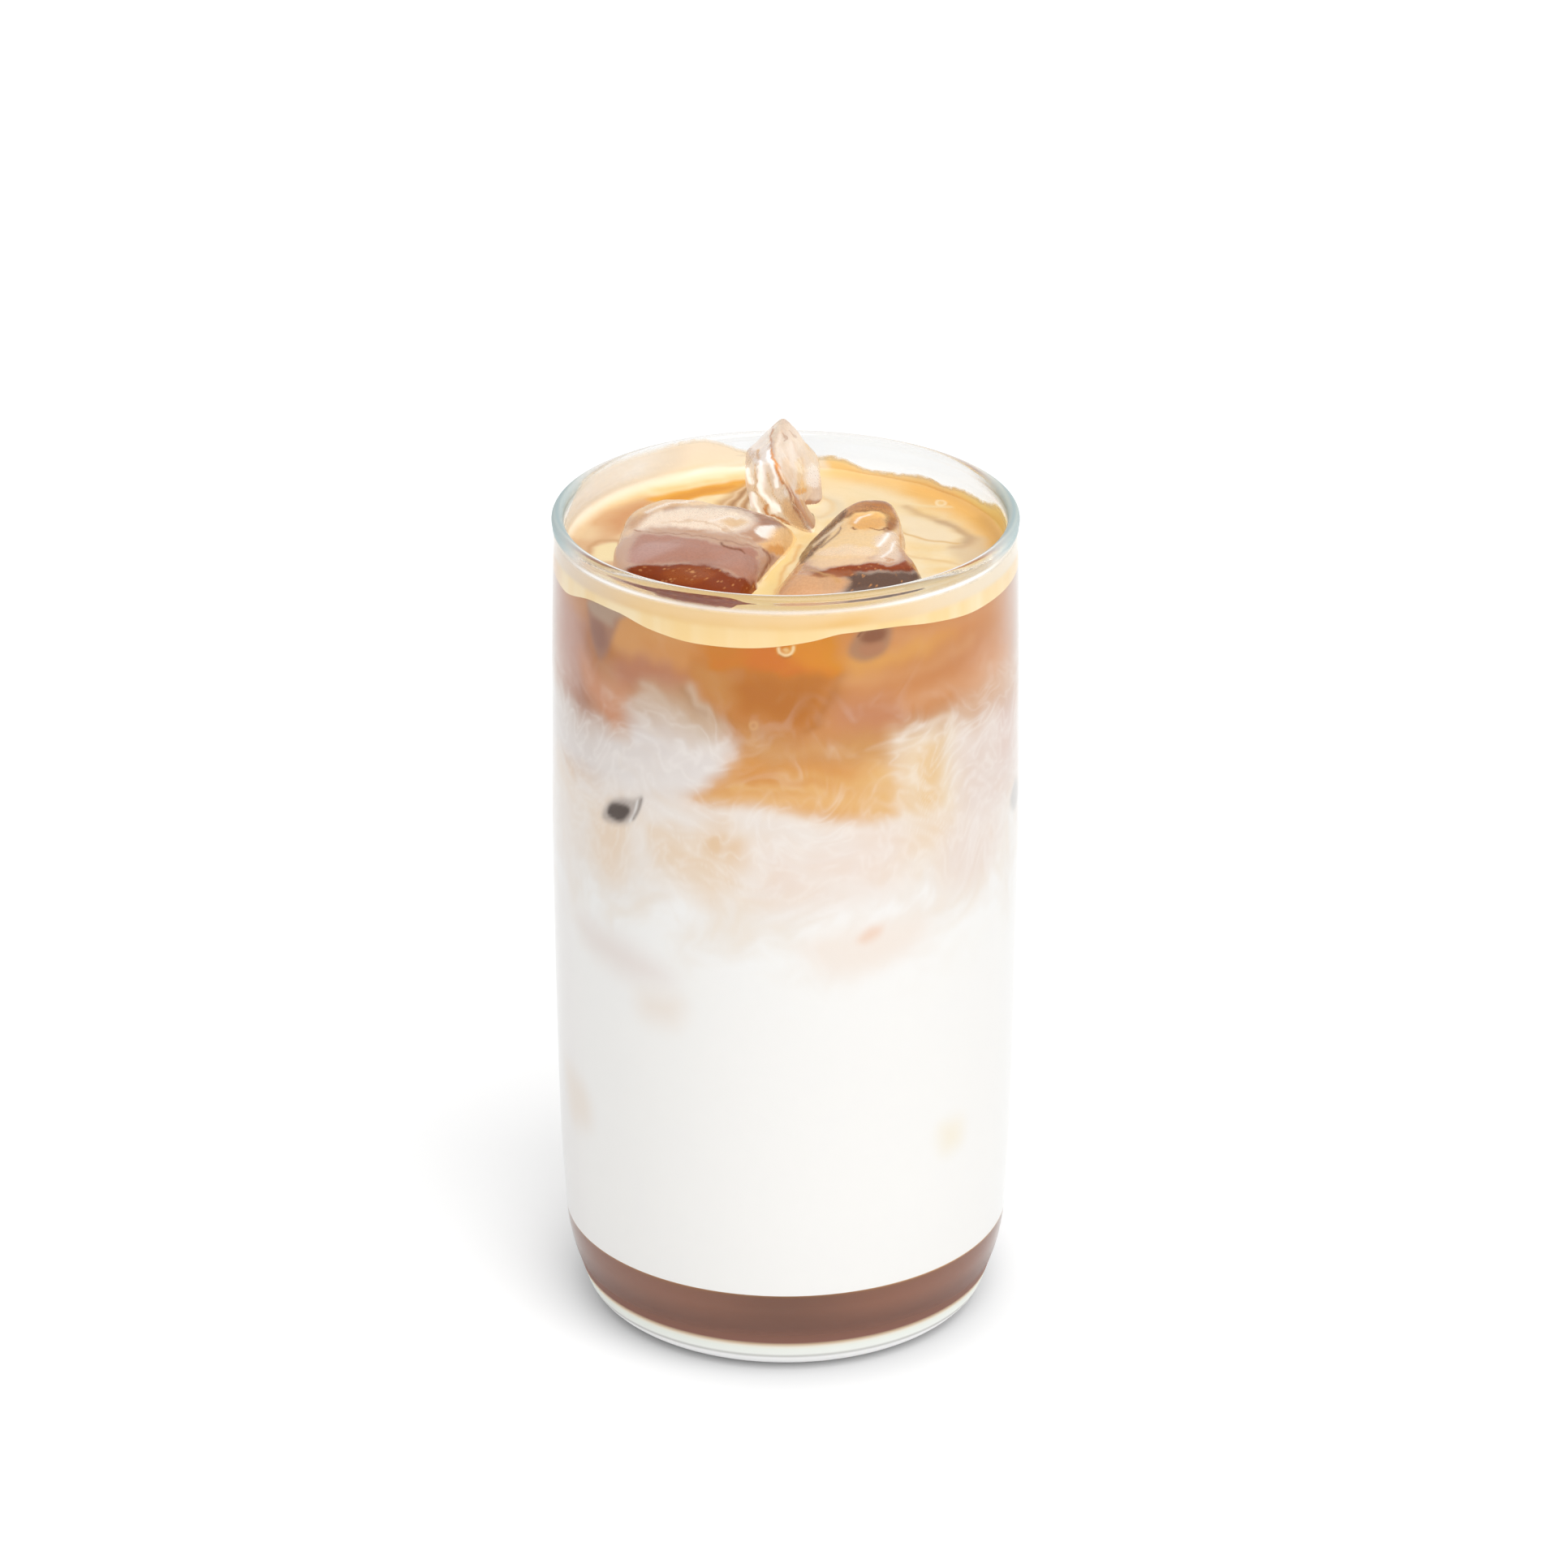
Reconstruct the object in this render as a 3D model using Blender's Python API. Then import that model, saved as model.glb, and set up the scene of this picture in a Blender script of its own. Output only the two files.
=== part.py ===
"""An iced caramel macchiato in a straight tumbler, standing on the table with three pieces of ice in its top.

From the foot up: a clear tumbler with a thick rounded base, caramel syrup on its floor, milk, coffee poured over
the milk, and a skin of crema that climbs the wall. The left and right pieces of ice lie across the front and the
third stands up behind them. The origin is the centre of the foot on the table, +Z is up and the front is at -Y.
"""

import bpy
import numpy as np

MM = 0.001
GAP = 0.3  # clear space between neighbouring layers and between the drink and the glass, mm
ICE_GAP = 0.4  # clear space round each piece of ice, mm
SIDES = 48  # of everything turned about the axis

# The tumbler, mm
RIM_HEIGHT = 138.6
BEAD_RADIUS = 0.95
BEAD_RING = 36.55
WALL = 1.9
FLOOR_TOP = 5.0
FLOOR_CORNER = 8.0
FOOT_RING = (24.5, 29.9)
UNDERSIDE_RISE = 0.8
# Outer radius against height
OUTER_HEIGHTS = (0.0, 1.0, 2.5, 4.5, 7.0, 10.0, 14.0, 19.0, 26.0, 36.0, 50.0, 66.0, 84.0, 104.0, 124.0, 135.0)
OUTER_RADII = (29.9, 31.5, 33.0, 33.85, 34.7, 35.7, 36.5, 36.85, 37.3, 37.6, 37.85, 38.05, 38.15, 37.9, 37.6, 37.25)

# The drink, mm
SYRUP_TOP = 15.4
MILK_MIDDLE = 101.0  # height of the milk under the coffee, away from the wall
CREMA_UNDER = 130.1
CREMA_TOP = 131.9
LIP_THICKNESS = 0.8
# Heights at the wall against azimuth in degrees from +X, running anticlockwise
MILK_EDGE = {
    -170: 107, -153: 110, -138: 111, -122: 117, -112: 112, -104: 105, -94: 100.5, -75: 99.8, -66: 106, -58: 111,
    -50: 113.4, -34: 113, -9: 110, 20: 107, 55: 111, 95: 106, 130: 110, 160: 108,
}
CREMA_EDGE = {
    -180: 129.8, -162: 129.3, -147: 131.1, -137: 131.2, -126: 130.1, -112: 129.3, -96: 129.6, -84: 130.6, -75: 131.6,
    -62: 131.5, -50: 130.6, -35: 129.8, 0: 130.0, 45: 130.6, 90: 130.2, 135: 130.6,
}
LIP_EDGE = {
    -170: 135.6, -150: 136.0, -120: 136.2, -90: 136.0, -60: 136.2, -30: 135.8, 0: 136.0, 14: 136.3, 23: 134.8,
    37: 134.4, 44: 133.8, 50: 134.3, 58: 133.6, 67: 133.3, 77: 135.0, 89: 134.6, 101: 136.0, 130: 136.4, 158: 136.6,
}

# The ice, mm and degrees. A piece is the rounded cell inside its faces, each given by its bearing from +X, its tilt
# above level and its distance from the centre. A hollow has a bearing, a tilt, a depth as a share of the radius and a
# half-width. The edge says how crisp the edges are, and the reach is the rough half-size along X, Y and Z.
ICE_SIDES = 30
ICE_RINGS = 15
ICE = {
    "ice_left": {
        "centre": (-11.5, -7.1, 124.4),
        "reach": (15, 20, 13),
        "edge": 10,
        "faces": (
            (-78, 82, 13.5), (79, 31, 17.7), (173, 1, 15.5), (-126, -1, 16.5), (132, 16, 19.5),
            (-84, -9, 19.4), (-19, 19, 12.3), (4, 62, 16.0), (-18, -7, 10.0), (58, -16, 17.2),
            (0, -90, 12.0),
        ),
        "hollows": (),
    },
    "ice_right": {
        "centre": (10.1, -8.0, 122.9),
        "reach": (15, 17, 14),
        "edge": 12,
        "faces": (
            (-86, 81, 14.1), (166, 41, 12.7), (12, 9, 12.7), (-13, 41, 17.3), (95, 17, 17.6),
            (-87, 5, 16.6), (-48, 12, 16.8), (164, -2, 9.2), (111, -3, 14.0), (0, -90, 12.0),
        ),
        "hollows": ((10, 41, 0.17, 22.0),),
    },
    "ice_back": {
        "centre": (0.2, 19.4, 129.6),
        "reach": (6, 12, 14),
        "edge": 14,
        "faces": (
            (-137, -17, 5.2), (-7, 29, 6.7), (178, 50, 12.7), (-1, 36, 12.5), (-173, -4, 5.7),
            (6, -9, 5.6), (115, 12, 9.7), (-68, -5, 14.4), (-71, -30, 13.2), (0, -90, 16.0),
        ),
        "hollows": ((-34, 36, 0.52, 20.0),),
    },
}


def srgb(code):
    """Linear RGBA of an sRGB hex colour."""
    parts = np.array([int(code[i : i + 2], 16) for i in (1, 3, 5)]) / 255
    linear = np.where(parts <= 0.04045, parts / 12.92, ((parts + 0.055) / 1.055) ** 2.4)
    return (*linear.tolist(), 1.0)


def material(name, code, roughness, transmission=0.0, ior=1.45):
    """A Principled material of one colour."""
    made = bpy.data.materials.new(name)
    made.use_nodes = True
    made.diffuse_color = srgb(code)
    shader = made.node_tree.nodes["Principled BSDF"]
    shader.inputs["Base Color"].default_value = srgb(code)
    shader.inputs["Roughness"].default_value = roughness
    shader.inputs["Transmission Weight"].default_value = transmission
    shader.inputs["IOR"].default_value = ior
    return made


def smooth_curve(x, known_x, known_y):
    """A curve through the known points whose slope at each is the mean of the slopes beside it, weighted by nearness."""
    known_x = np.asarray(known_x, float)
    known_y = np.asarray(known_y, float)
    step = np.diff(known_x)
    slope = np.diff(known_y) / step
    bend = (slope[:-1] * step[1:] + slope[1:] * step[:-1]) / (step[1:] + step[:-1])
    bend = np.where(slope[:-1] * slope[1:] > 0, bend, 0.0)
    tangent = np.concatenate([slope[:1], bend, slope[-1:]])
    i = np.clip(np.searchsorted(known_x, x) - 1, 0, len(step) - 1)
    t = (x - known_x[i]) / step[i]
    rise = (2 * t**3 - 3 * t**2 + 1) * known_y[i] + (3 * t**2 - 2 * t**3) * known_y[i + 1]
    return rise + step[i] * ((t**3 - 2 * t**2 + t) * tangent[i] + (t**3 - t**2) * tangent[i + 1])


def edge_height(table, azimuth):
    """Height from one of the tables above at each azimuth in radians, closed round the full turn."""
    at = np.array(sorted(table), float)
    high = np.array([table[k] for k in sorted(table)], float)
    at = np.concatenate([at[-2:] - 360, at, at[:2] + 360])
    high = np.concatenate([high[-2:], high, high[:2]])
    return smooth_curve((np.degrees(azimuth) + 180) % 360 - 180, at, high)


def outer_radius(z):
    return smooth_curve(z, OUTER_HEIGHTS, OUTER_RADII)


def inner_radius(z):
    """Radius of the tumbler's straight inside, above the rounded corner of its floor."""
    return outer_radius(np.asarray(z, float)) - WALL


def corner_points(clear):
    """The rounded corner of the floor from the bottom up, as radius and height, drawn in by a clearance."""
    top = FLOOR_TOP + FLOOR_CORNER
    across = inner_radius(top) - FLOOR_CORNER
    bend = FLOOR_CORNER - clear
    return [(across + bend * np.cos(turn), top - bend * np.sin(turn)) for turn in np.radians([90, 67.5, 45, 22.5, 0])]


def circle(sides):
    return np.linspace(0, 2 * np.pi, sides, endpoint=False)


def ring(radius, z, azimuth):
    """Points round the axis. The radius and the height may each be one number or one per azimuth."""
    return np.stack([radius * np.cos(azimuth), radius * np.sin(azimuth), z + 0 * azimuth], axis=-1)


def skin(name, rings, first, last, look):
    """A closed mesh of triangles through the rings, which run from the bottom outwards and up, capped by two points.

    The diagonals always run the same way between a wide ring and a narrow one, so the facing sides of two
    neighbouring layers stay parallel.
    """
    sides = len(rings[0])
    points = np.concatenate([[first], *rings, [last]]) * MM
    widths = [np.hypot(*each[:, :2].T).mean() for each in rings]
    faces = []
    end = len(points) - 1
    for j in range(sides):
        k = (j + 1) % sides
        faces.append((0, 1 + k, 1 + j))
        for i in range(len(rings) - 1):
            low = 1 + i * sides
            high = low + sides
            if widths[i + 1] < widths[i]:
                faces += [(low + j, low + k, high + k), (low + j, high + k, high + j)]
            else:
                faces += [(low + j, low + k, high + j), (low + k, high + k, high + j)]
        top = end - sides
        faces.append((end, top + j, top + k))
    mesh = bpy.data.meshes.new(name)
    mesh.from_pydata(points.tolist(), [], faces)
    mesh.materials.append(look)
    mesh.validate()
    for face in mesh.polygons:
        face.use_smooth = True
    made = bpy.data.objects.new(name, mesh)
    bpy.context.scene.collection.objects.link(made)
    return made


def tumbler(look):
    """The glass: underside, foot ring, outer wall, rim bead, inner wall and floor in one turned skin."""
    azimuth = circle(SIDES)
    profile = [(12.0, UNDERSIDE_RISE), (FOOT_RING[0] - 2.5, UNDERSIDE_RISE * 0.6), (FOOT_RING[0], 0.0)]
    profile += [(outer_radius(z), z) for z in OUTER_HEIGHTS]
    for turn in np.radians([-20, 20, 55, 90, 125, 160, 200]):
        height = RIM_HEIGHT - BEAD_RADIUS + BEAD_RADIUS * np.sin(turn)
        profile.append((BEAD_RING + BEAD_RADIUS * np.cos(turn), height))
    profile += [(inner_radius(z), z) for z in reversed(OUTER_HEIGHTS) if z > FLOOR_TOP + FLOOR_CORNER]
    profile += reversed(corner_points(0.0))
    rings = [ring(radius, z, azimuth) for radius, z in profile]
    return skin("glass", rings, (0, 0, UNDERSIDE_RISE), (0, 0, FLOOR_TOP), look)


def filled_radius(z):
    """Radius of the drink at a height, which clears the glass by the gap."""
    return inner_radius(z) - GAP


def milk_top(radius, azimuth):
    """Height of the milk: rising to its uneven edge near the wall and gently wavy in the middle."""
    share = np.clip(radius / filled_radius(105.0), 0, 1)
    middle = MILK_MIDDLE + 1.5 * share * np.sin(2 * azimuth + 0.7)
    return middle + (edge_height(MILK_EDGE, azimuth) - middle) * share**5


def crema_under(radius, azimuth):
    """Height of the crema's underside, level in the middle and uneven at the wall."""
    share = np.clip(radius / filled_radius(CREMA_UNDER), 0, 1)
    return CREMA_UNDER + (edge_height(CREMA_EDGE, azimuth) - CREMA_UNDER) * share**8


def syrup(look):
    azimuth = circle(SIDES)
    top = SYRUP_TOP - GAP / 2
    profile = [*corner_points(GAP), (filled_radius(top), top)]
    rings = [ring(radius, z, azimuth) for radius, z in profile]
    return skin("syrup", rings, (0, 0, FLOOR_TOP + GAP), (0, 0, top), look)


def milk(look):
    azimuth = circle(SIDES)
    low = SYRUP_TOP + GAP / 2
    rings = [ring(filled_radius(z), z, azimuth) for z in (low, 19.0, 26.0, 36.0, 50.0, 66.0, 84.0)]
    for share in (1.0, 0.9, 0.78, 0.6, 0.3):
        radius = share * filled_radius(105.0)
        height = milk_top(radius, azimuth) - GAP / 2
        around = filled_radius(height) if share == 1.0 else radius
        rings.append(ring(around, height, azimuth))
    return skin("milk", rings, (0, 0, low), (0, 0, MILK_MIDDLE - GAP / 2), look)


def coffee(look):
    azimuth = circle(SIDES)
    rings = []
    for share in (0.3, 0.6, 0.78, 0.9, 1.0):
        radius = share * filled_radius(105.0)
        height = milk_top(radius, azimuth) + GAP / 2
        around = filled_radius(height) if share == 1.0 else radius
        rings.append(ring(around, height, azimuth))
    for share in (1.0, 0.93, 0.8, 0.4):
        radius = share * filled_radius(CREMA_UNDER)
        rings.append(ring(radius, crema_under(radius, azimuth) - GAP / 2, azimuth))
    return skin("coffee", rings, (0, 0, MILK_MIDDLE + GAP / 2), (0, 0, CREMA_UNDER - GAP / 2), look)


def crema(look):
    """The skin on top: a thin disc whose edge turns up the wall as an uneven lip."""
    azimuth = circle(SIDES)
    wall = filled_radius(CREMA_UNDER)
    rings = []
    for share in (0.4, 0.8, 0.93, 1.0):
        rings.append(ring(share * wall, crema_under(share * wall, azimuth) + GAP / 2, azimuth))
    lip = edge_height(LIP_EDGE, azimuth)
    rings.append(ring(filled_radius(lip), lip, azimuth))
    rings.append(ring(filled_radius(lip) - LIP_THICKNESS, lip - 0.2, azimuth))
    for inward, height in ((1.1, 132.9), (2.0, 132.3), (3.6, CREMA_TOP + 0.05)):
        rings.append(ring(wall - inward, height, azimuth))
    for share in (0.75, 0.5, 0.25):
        rings.append(ring(share * wall, CREMA_TOP + 0.1 * np.sin(3 * azimuth + 5 * share), azimuth))
    return skin("crema", rings, (0, 0, CREMA_UNDER + GAP / 2), (0, 0, CREMA_TOP), look)


def pointing(bearing, tilt):
    """Unit vector towards a bearing and a tilt in degrees."""
    level = np.cos(np.radians(tilt))
    return np.array([level * np.cos(np.radians(bearing)), level * np.sin(np.radians(bearing)), np.sin(np.radians(tilt))])


def ice_radius(piece, direction):
    """Distance from a piece's centre to its surface along each unit direction.

    Each face's own distance is distance / cos(angle), and a high-power mean of their inverses takes the nearest one
    while rounding the edges between them.
    """
    power = piece["edge"]
    total = 0.0
    for bearing, tilt, distance in piece["faces"]:
        total = total + np.maximum(0.0, direction @ pointing(bearing, tilt) / distance) ** power
    radius = total ** (-1 / power)
    for bearing, tilt, depth, width in piece["hollows"]:
        angle = np.degrees(np.arccos(np.clip(direction @ pointing(bearing, tilt), -1, 1)))
        radius = radius * (1 - depth * np.exp(-((angle / width) ** 2)))
    return radius


def ice(name, look):
    piece = ICE[name]
    azimuth = circle(ICE_SIDES)
    centre = np.array(piece["centre"])
    rings = []
    for polar in np.pi * (1 - np.linspace(0, 1, ICE_RINGS + 1)[1:-1] ** 0.8):
        direction = ring(np.sin(polar), np.cos(polar), azimuth) * piece["reach"]
        direction /= np.linalg.norm(direction, axis=1)[:, None]
        rings.append(centre + direction * ice_radius(piece, direction)[:, None])
    up = np.array([0.0, 0.0, 1.0])
    low = centre - up * ice_radius(piece, -up)
    high = centre + up * ice_radius(piece, up)
    return skin(name, rings, low, high, look)


def swell(solid, distance):
    """Moves every point of a mesh outwards along its normal."""
    mesh = solid.data
    outward = [point.normal.copy() for point in mesh.vertices]
    for point, normal in zip(mesh.vertices, outward):
        point.co += normal * distance


def cut(body, cutter):
    """Takes the cutter out of the body for good."""
    knife = body.modifiers.new(cutter.name, "BOOLEAN")
    knife.operation = "DIFFERENCE"
    knife.solver = "EXACT"
    knife.object = cutter
    bpy.context.view_layer.update()
    cut_mesh = bpy.data.meshes.new_from_object(body.evaluated_get(bpy.context.evaluated_depsgraph_get()))
    body.modifiers.clear()
    body.data = cut_mesh


def main():
    for old in list(bpy.data.objects):
        bpy.data.objects.remove(old)
    clear = material("Clear glass", "#f4f8f7", 0.02, 1.0, 1.5)
    caramel = material("Caramel syrup", "#88675b", 0.25)
    white = material("Milk", "#f4f1ed", 0.3)
    brown = material("Coffee with milk", "#c1824a", 0.2)
    foam = material("Crema", "#f6cf94", 0.45)
    frozen = material("Ice", "#f3ece6", 0.05, 0.9, 1.31)
    tumbler(clear)
    syrup(caramel)
    milk(white)
    iced = [coffee(brown), crema(foam)]
    for name in ICE:
        hollow = ice(name, frozen)
        swell(hollow, ICE_GAP * MM)
        for body in iced:
            cut(body, hollow)
        bpy.data.objects.remove(hollow)
        ice(name, frozen)


main()
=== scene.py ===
# %% [markdown]
# # An iced caramel macchiato
#
# A straight tumbler stands on a white table. Caramel syrup lies on its floor, milk fills it to two thirds, coffee
# clouds into the milk from above, and a skin of crema lies on top with three pieces of ice standing out of it. This
# script dresses the frame's eight solids: each is replaced by a finer surface of the same shape, and most of the look
# is in how the coffee and the milk are painted through one another.

import bpy
import numpy as np
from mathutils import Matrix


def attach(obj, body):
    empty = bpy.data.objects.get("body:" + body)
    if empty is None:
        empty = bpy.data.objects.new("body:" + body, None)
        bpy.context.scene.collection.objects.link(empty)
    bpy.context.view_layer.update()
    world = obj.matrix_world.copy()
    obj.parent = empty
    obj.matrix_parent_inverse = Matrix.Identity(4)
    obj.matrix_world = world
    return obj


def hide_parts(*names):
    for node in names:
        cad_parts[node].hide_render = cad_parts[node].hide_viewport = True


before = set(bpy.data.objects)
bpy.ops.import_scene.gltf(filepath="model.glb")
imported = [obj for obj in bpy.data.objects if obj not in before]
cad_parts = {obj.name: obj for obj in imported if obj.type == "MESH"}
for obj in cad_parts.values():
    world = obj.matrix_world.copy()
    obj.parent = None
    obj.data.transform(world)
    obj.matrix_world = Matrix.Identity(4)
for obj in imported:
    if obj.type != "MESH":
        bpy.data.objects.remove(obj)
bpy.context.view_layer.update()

# %% [markdown]
# ## Sizes
#
# All sizes are in millimetres and degrees and are turned into metres when a mesh is made. They are the same values
# as the solids', so that every finer surface lies on its solid. Azimuths run anticlockwise from +X, and the front,
# which the picture shows, is at -90.
#
# A tumbler is round, so a table of heights and radii says its whole outside. It could be a curve drawn by hand, but a
# table can be measured from and the drink inside can follow it.

# %% Sizes
MM = 0.001
RIM_HEIGHT = 138.6
BEAD_RADIUS = 0.95
BEAD_RING = 36.55
WALL = 1.9
FLOOR_TOP = 5.0
FLOOR_CORNER = 8.0
FOOT_RING = (24.5, 29.9)
UNDERSIDE_RISE = 0.8
WALL_TOP = 135.0
OUTER_HEIGHTS = (0.0, 1.0, 2.5, 4.5, 7.0, 10.0, 14.0, 19.0, 26.0, 36.0, 50.0, 66.0, 84.0, 104.0, 124.0, 135.0)
OUTER_RADII = (29.9, 31.5, 33.0, 33.85, 34.7, 35.7, 36.5, 36.85, 37.3, 37.6, 37.85, 38.05, 38.15, 37.9, 37.6, 37.25)

SYRUP_TOP = 15.4
CREMA_TOP = 131.9
print(f"A tumbler {2 * max(OUTER_RADII):.1f} mm across and {RIM_HEIGHT} mm high")

# %% [markdown]
# ## Small tools
#
# A colour is read off a picture as a hex code in sRGB, while light adds up in linear values, so `colour` turns one
# into the other. Every tone here goes through it. Soft steps and smooth curves come up again and again: `ease` fades
# one thing into another, and `smooth_curve` draws a rounded line through a few measured places.

# %% Colours


def linear(values):
    """sRGB values from 0 to 1 as linear light."""
    values = np.asarray(values, float)
    return np.where(values <= 0.04045, values / 12.92, ((values + 0.055) / 1.055) ** 2.4)


def colour(code):
    """Linear RGB of a hex colour, and a fourth share from 0 to 1 where the code has eight digits."""
    values = [int(code[i : i + 2], 16) / 255 for i in range(1, len(code), 2)]
    return np.concatenate([linear(values[:3]), values[3:]])


def rgba(code):
    """A hex colour as a socket takes it, with a full alpha."""
    return (*colour(code).tolist(), 1.0)


def ramp(amount, stops):
    """Colours between the stops, each a place from 0 to 1 and a hex colour, mixed in linear light."""
    places = [place for place, _ in stops]
    tones = np.array([colour(code) for _, code in stops])
    return np.stack([np.interp(amount, places, tones[:, i]) for i in range(3)], axis=-1)


def blend(first, second, share):
    """First colours where the share is 0 and second ones where it is 1."""
    share = np.clip(share, 0, 1)[..., None]
    return first * (1 - share) + second * share


def opaque(tones):
    """The same colours with a full alpha beside them."""
    return np.concatenate([tones, np.ones_like(tones[..., :1])], axis=-1)


print("The brown of the syrup in linear light:", *colour("#916858").round(3))

# %% Curves


def ease(x, low, high):
    """0 below low, 1 above high, and a smooth step between."""
    t = np.clip((x - low) / (high - low), 0, 1)
    return t * t * (3 - 2 * t)


def smooth_curve(x, known_x, known_y):
    """A curve through the known points whose slope at each is the mean of the slopes beside it."""
    known_x = np.asarray(known_x, float)
    known_y = np.asarray(known_y, float)
    step = np.diff(known_x)
    slope = np.diff(known_y) / step
    bend = (slope[:-1] * step[1:] + slope[1:] * step[:-1]) / (step[1:] + step[:-1])
    bend = np.where(slope[:-1] * slope[1:] > 0, bend, 0.0)
    tangent = np.concatenate([slope[:1], bend, slope[-1:]])
    i = np.clip(np.searchsorted(known_x, x) - 1, 0, len(step) - 1)
    t = (x - known_x[i]) / step[i]
    rise = (2 * t**3 - 3 * t**2 + 1) * known_y[i] + (3 * t**2 - 2 * t**3) * known_y[i + 1]
    return rise + step[i] * ((t**3 - 2 * t**2 + t) * tangent[i] + (t**3 - t**2) * tangent[i + 1])


def edge_height(table, azimuth):
    """Height at each azimuth in radians, on a smooth curve through a table by degrees that closes round the turn."""
    at = np.array(sorted(table), float)
    high = np.array([table[k] for k in sorted(table)], float)
    at = np.concatenate([at[-2:] - 360, at, at[:2] + 360])
    high = np.concatenate([high[-2:], high, high[:2]])
    return smooth_curve((np.degrees(azimuth) + 180) % 360 - 180, at, high)


def outer_radius(z):
    """Radius of the tumbler's outside at a height, on the curve through its table."""
    return smooth_curve(np.asarray(z, float), OUTER_HEIGHTS, OUTER_RADII)


def inner_radius(z):
    """Radius of its inside: the outside less the wall."""
    return outer_radius(z) - WALL


def circle(sides):
    """Azimuths at equal steps round a full turn."""
    return np.linspace(0, 2 * np.pi, sides, endpoint=False)


print(f"Halfway up, the wall runs from {inner_radius(70.0):.2f} to {outer_radius(70.0):.2f} mm from the axis")

# %% [markdown]
# ## Meshes
#
# All shapes here are grids of points worked out with numpy and handed to Blender in one go. Modifiers would do for the
# tumbler, but a grid keeps the height and the azimuth of every point at hand, and the paint needs both. `surface` joins
# each point to its neighbours, closes the ends with fans, and keeps the paint as a colour per point.

# %% Meshes


def surface(name, points, look, tints=None, around=True, keep=None, first=None, last=None, crisp=False):
    """A smooth mesh through a grid of points (rows, columns, 3) in millimetres.

    around joins the last column to the first, keep says which cells stay, and first and last are the centres of fans
    that close the first and the last row, across a sharp edge if crisp. tints are arrays of RGBA per point, by name.
    """
    rows, columns = points.shape[:2]
    index = np.arange(rows * columns).reshape(rows, columns)
    right = np.roll(index, -1, axis=1) if around else index[:, 1:]
    left = index if around else index[:, :-1]
    cells = np.stack([left[:-1], right[:-1], right[1:], left[1:]], axis=-1)
    cells = cells[keep] if keep is not None else cells.reshape(-1, 4)
    corners = points.reshape(-1, 3)
    fans = []
    for centre, row, turn in ((first, index[0], True), (last, index[-1], False)):
        if centre is None:
            continue
        corners = np.concatenate([corners, [centre]])
        middle = np.full(columns, len(corners) - 1)
        fans.append(np.stack([middle, np.roll(row, -1), row] if turn else [middle, row, np.roll(row, -1)], axis=-1))
    fans = np.concatenate(fans) if fans else np.zeros((0, 3), int)
    used = np.unique(np.concatenate([cells.ravel(), fans.ravel()]))
    number = np.zeros(len(corners), int)
    number[used] = np.arange(len(used))
    made = mesh_of(name, corners[used], number[cells], number[fans], look)
    for tint, values in (tints or {}).items():
        flat = np.asarray(values, float).reshape(rows * columns, 4)
        for centre, row in ((first, flat[:columns]), (last, flat[-columns:])):
            if centre is not None:
                flat = np.concatenate([flat, row.mean(0, keepdims=True)])
        layer = made.data.attributes.new(tint, "FLOAT_COLOR", "POINT")
        layer.data.foreach_set("color", flat[used].astype(np.float32).ravel())
    if crisp:
        ends = np.empty(2 * len(made.data.edges), np.int32)
        made.data.edges.foreach_get("vertices", ends)
        ends = ends.reshape(-1, 2)
        sharp = np.isin(ends, number[index[0]]).all(1) | np.isin(ends, number[index[-1]]).all(1)
        made.data.attributes.new("sharp_edge", "BOOLEAN", "EDGE").data.foreach_set("value", sharp)
    return made


def mesh_of(name, corners, quads, triangles, look):
    """An object from points in millimetres, four-sided cells and three-sided cells, shaded smooth."""
    mesh = bpy.data.meshes.new(name)
    mesh.vertices.add(len(corners))
    mesh.vertices.foreach_set("co", (np.asarray(corners) * MM).astype(np.float32).ravel())
    loops = np.concatenate([quads.ravel(), triangles.ravel()]).astype(np.int32)
    mesh.loops.add(len(loops))
    mesh.loops.foreach_set("vertex_index", loops)
    sizes = np.concatenate([np.full(len(quads), 4), np.full(len(triangles), 3)])
    mesh.polygons.add(len(sizes))
    mesh.polygons.foreach_set("loop_start", (np.cumsum(sizes) - sizes).astype(np.int32))
    mesh.polygons.foreach_set("use_smooth", np.ones(len(sizes), bool))
    mesh.materials.append(look)
    mesh.update(calc_edges=True)
    made = bpy.data.objects.new(name, mesh)
    bpy.context.scene.collection.objects.link(made)
    return made


def settle(piece, slot, *nodes):
    """Rides the piece on the body and hides the solids that it stands for. Its slot is not used."""
    print(f"{piece.name}: {len(piece.data.vertices):,} points and {len(piece.data.polygons):,} faces")
    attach(piece, "root")
    if nodes:
        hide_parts(*nodes)
    return piece


def turned(profile, sides):
    """Grid of points of a profile, given as radius and height, turned about the axis."""
    profile = np.asarray(profile, float)
    azimuth = circle(sides)
    flat = profile[:, :1] * np.cos(azimuth), profile[:, :1] * np.sin(azimuth)
    return np.stack([*flat, profile[:, 1:] + 0 * azimuth], axis=-1)


# %% [markdown]
# ## Materials
#
# A material is a small network of nodes. It could be wired by hand in the shader editor. Here `add` places one node
# with its settings and links, so that a material reads from top to bottom like a recipe.

# %% Materials


def new_material(name):
    """An empty material with its network switched on."""
    made = bpy.data.materials.new(name)
    made.use_nodes = True
    made.node_tree.nodes.clear()
    return made


def add(look, kind, settings=None, **inputs):
    """A new shader node. Each input is a number, a colour, or an output socket to link from."""
    node = look.node_tree.nodes.new(kind)
    for key, value in (settings or {}).items():
        setattr(node, key, value)
    for key, value in inputs.items():
        socket = node.inputs[int(key[1:])] if key[0] == "_" else node.inputs[key.replace("_", " ")]
        if isinstance(value, bpy.types.NodeSocket):
            look.node_tree.links.new(value, socket)
        else:
            socket.default_value = value
    return node


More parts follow.
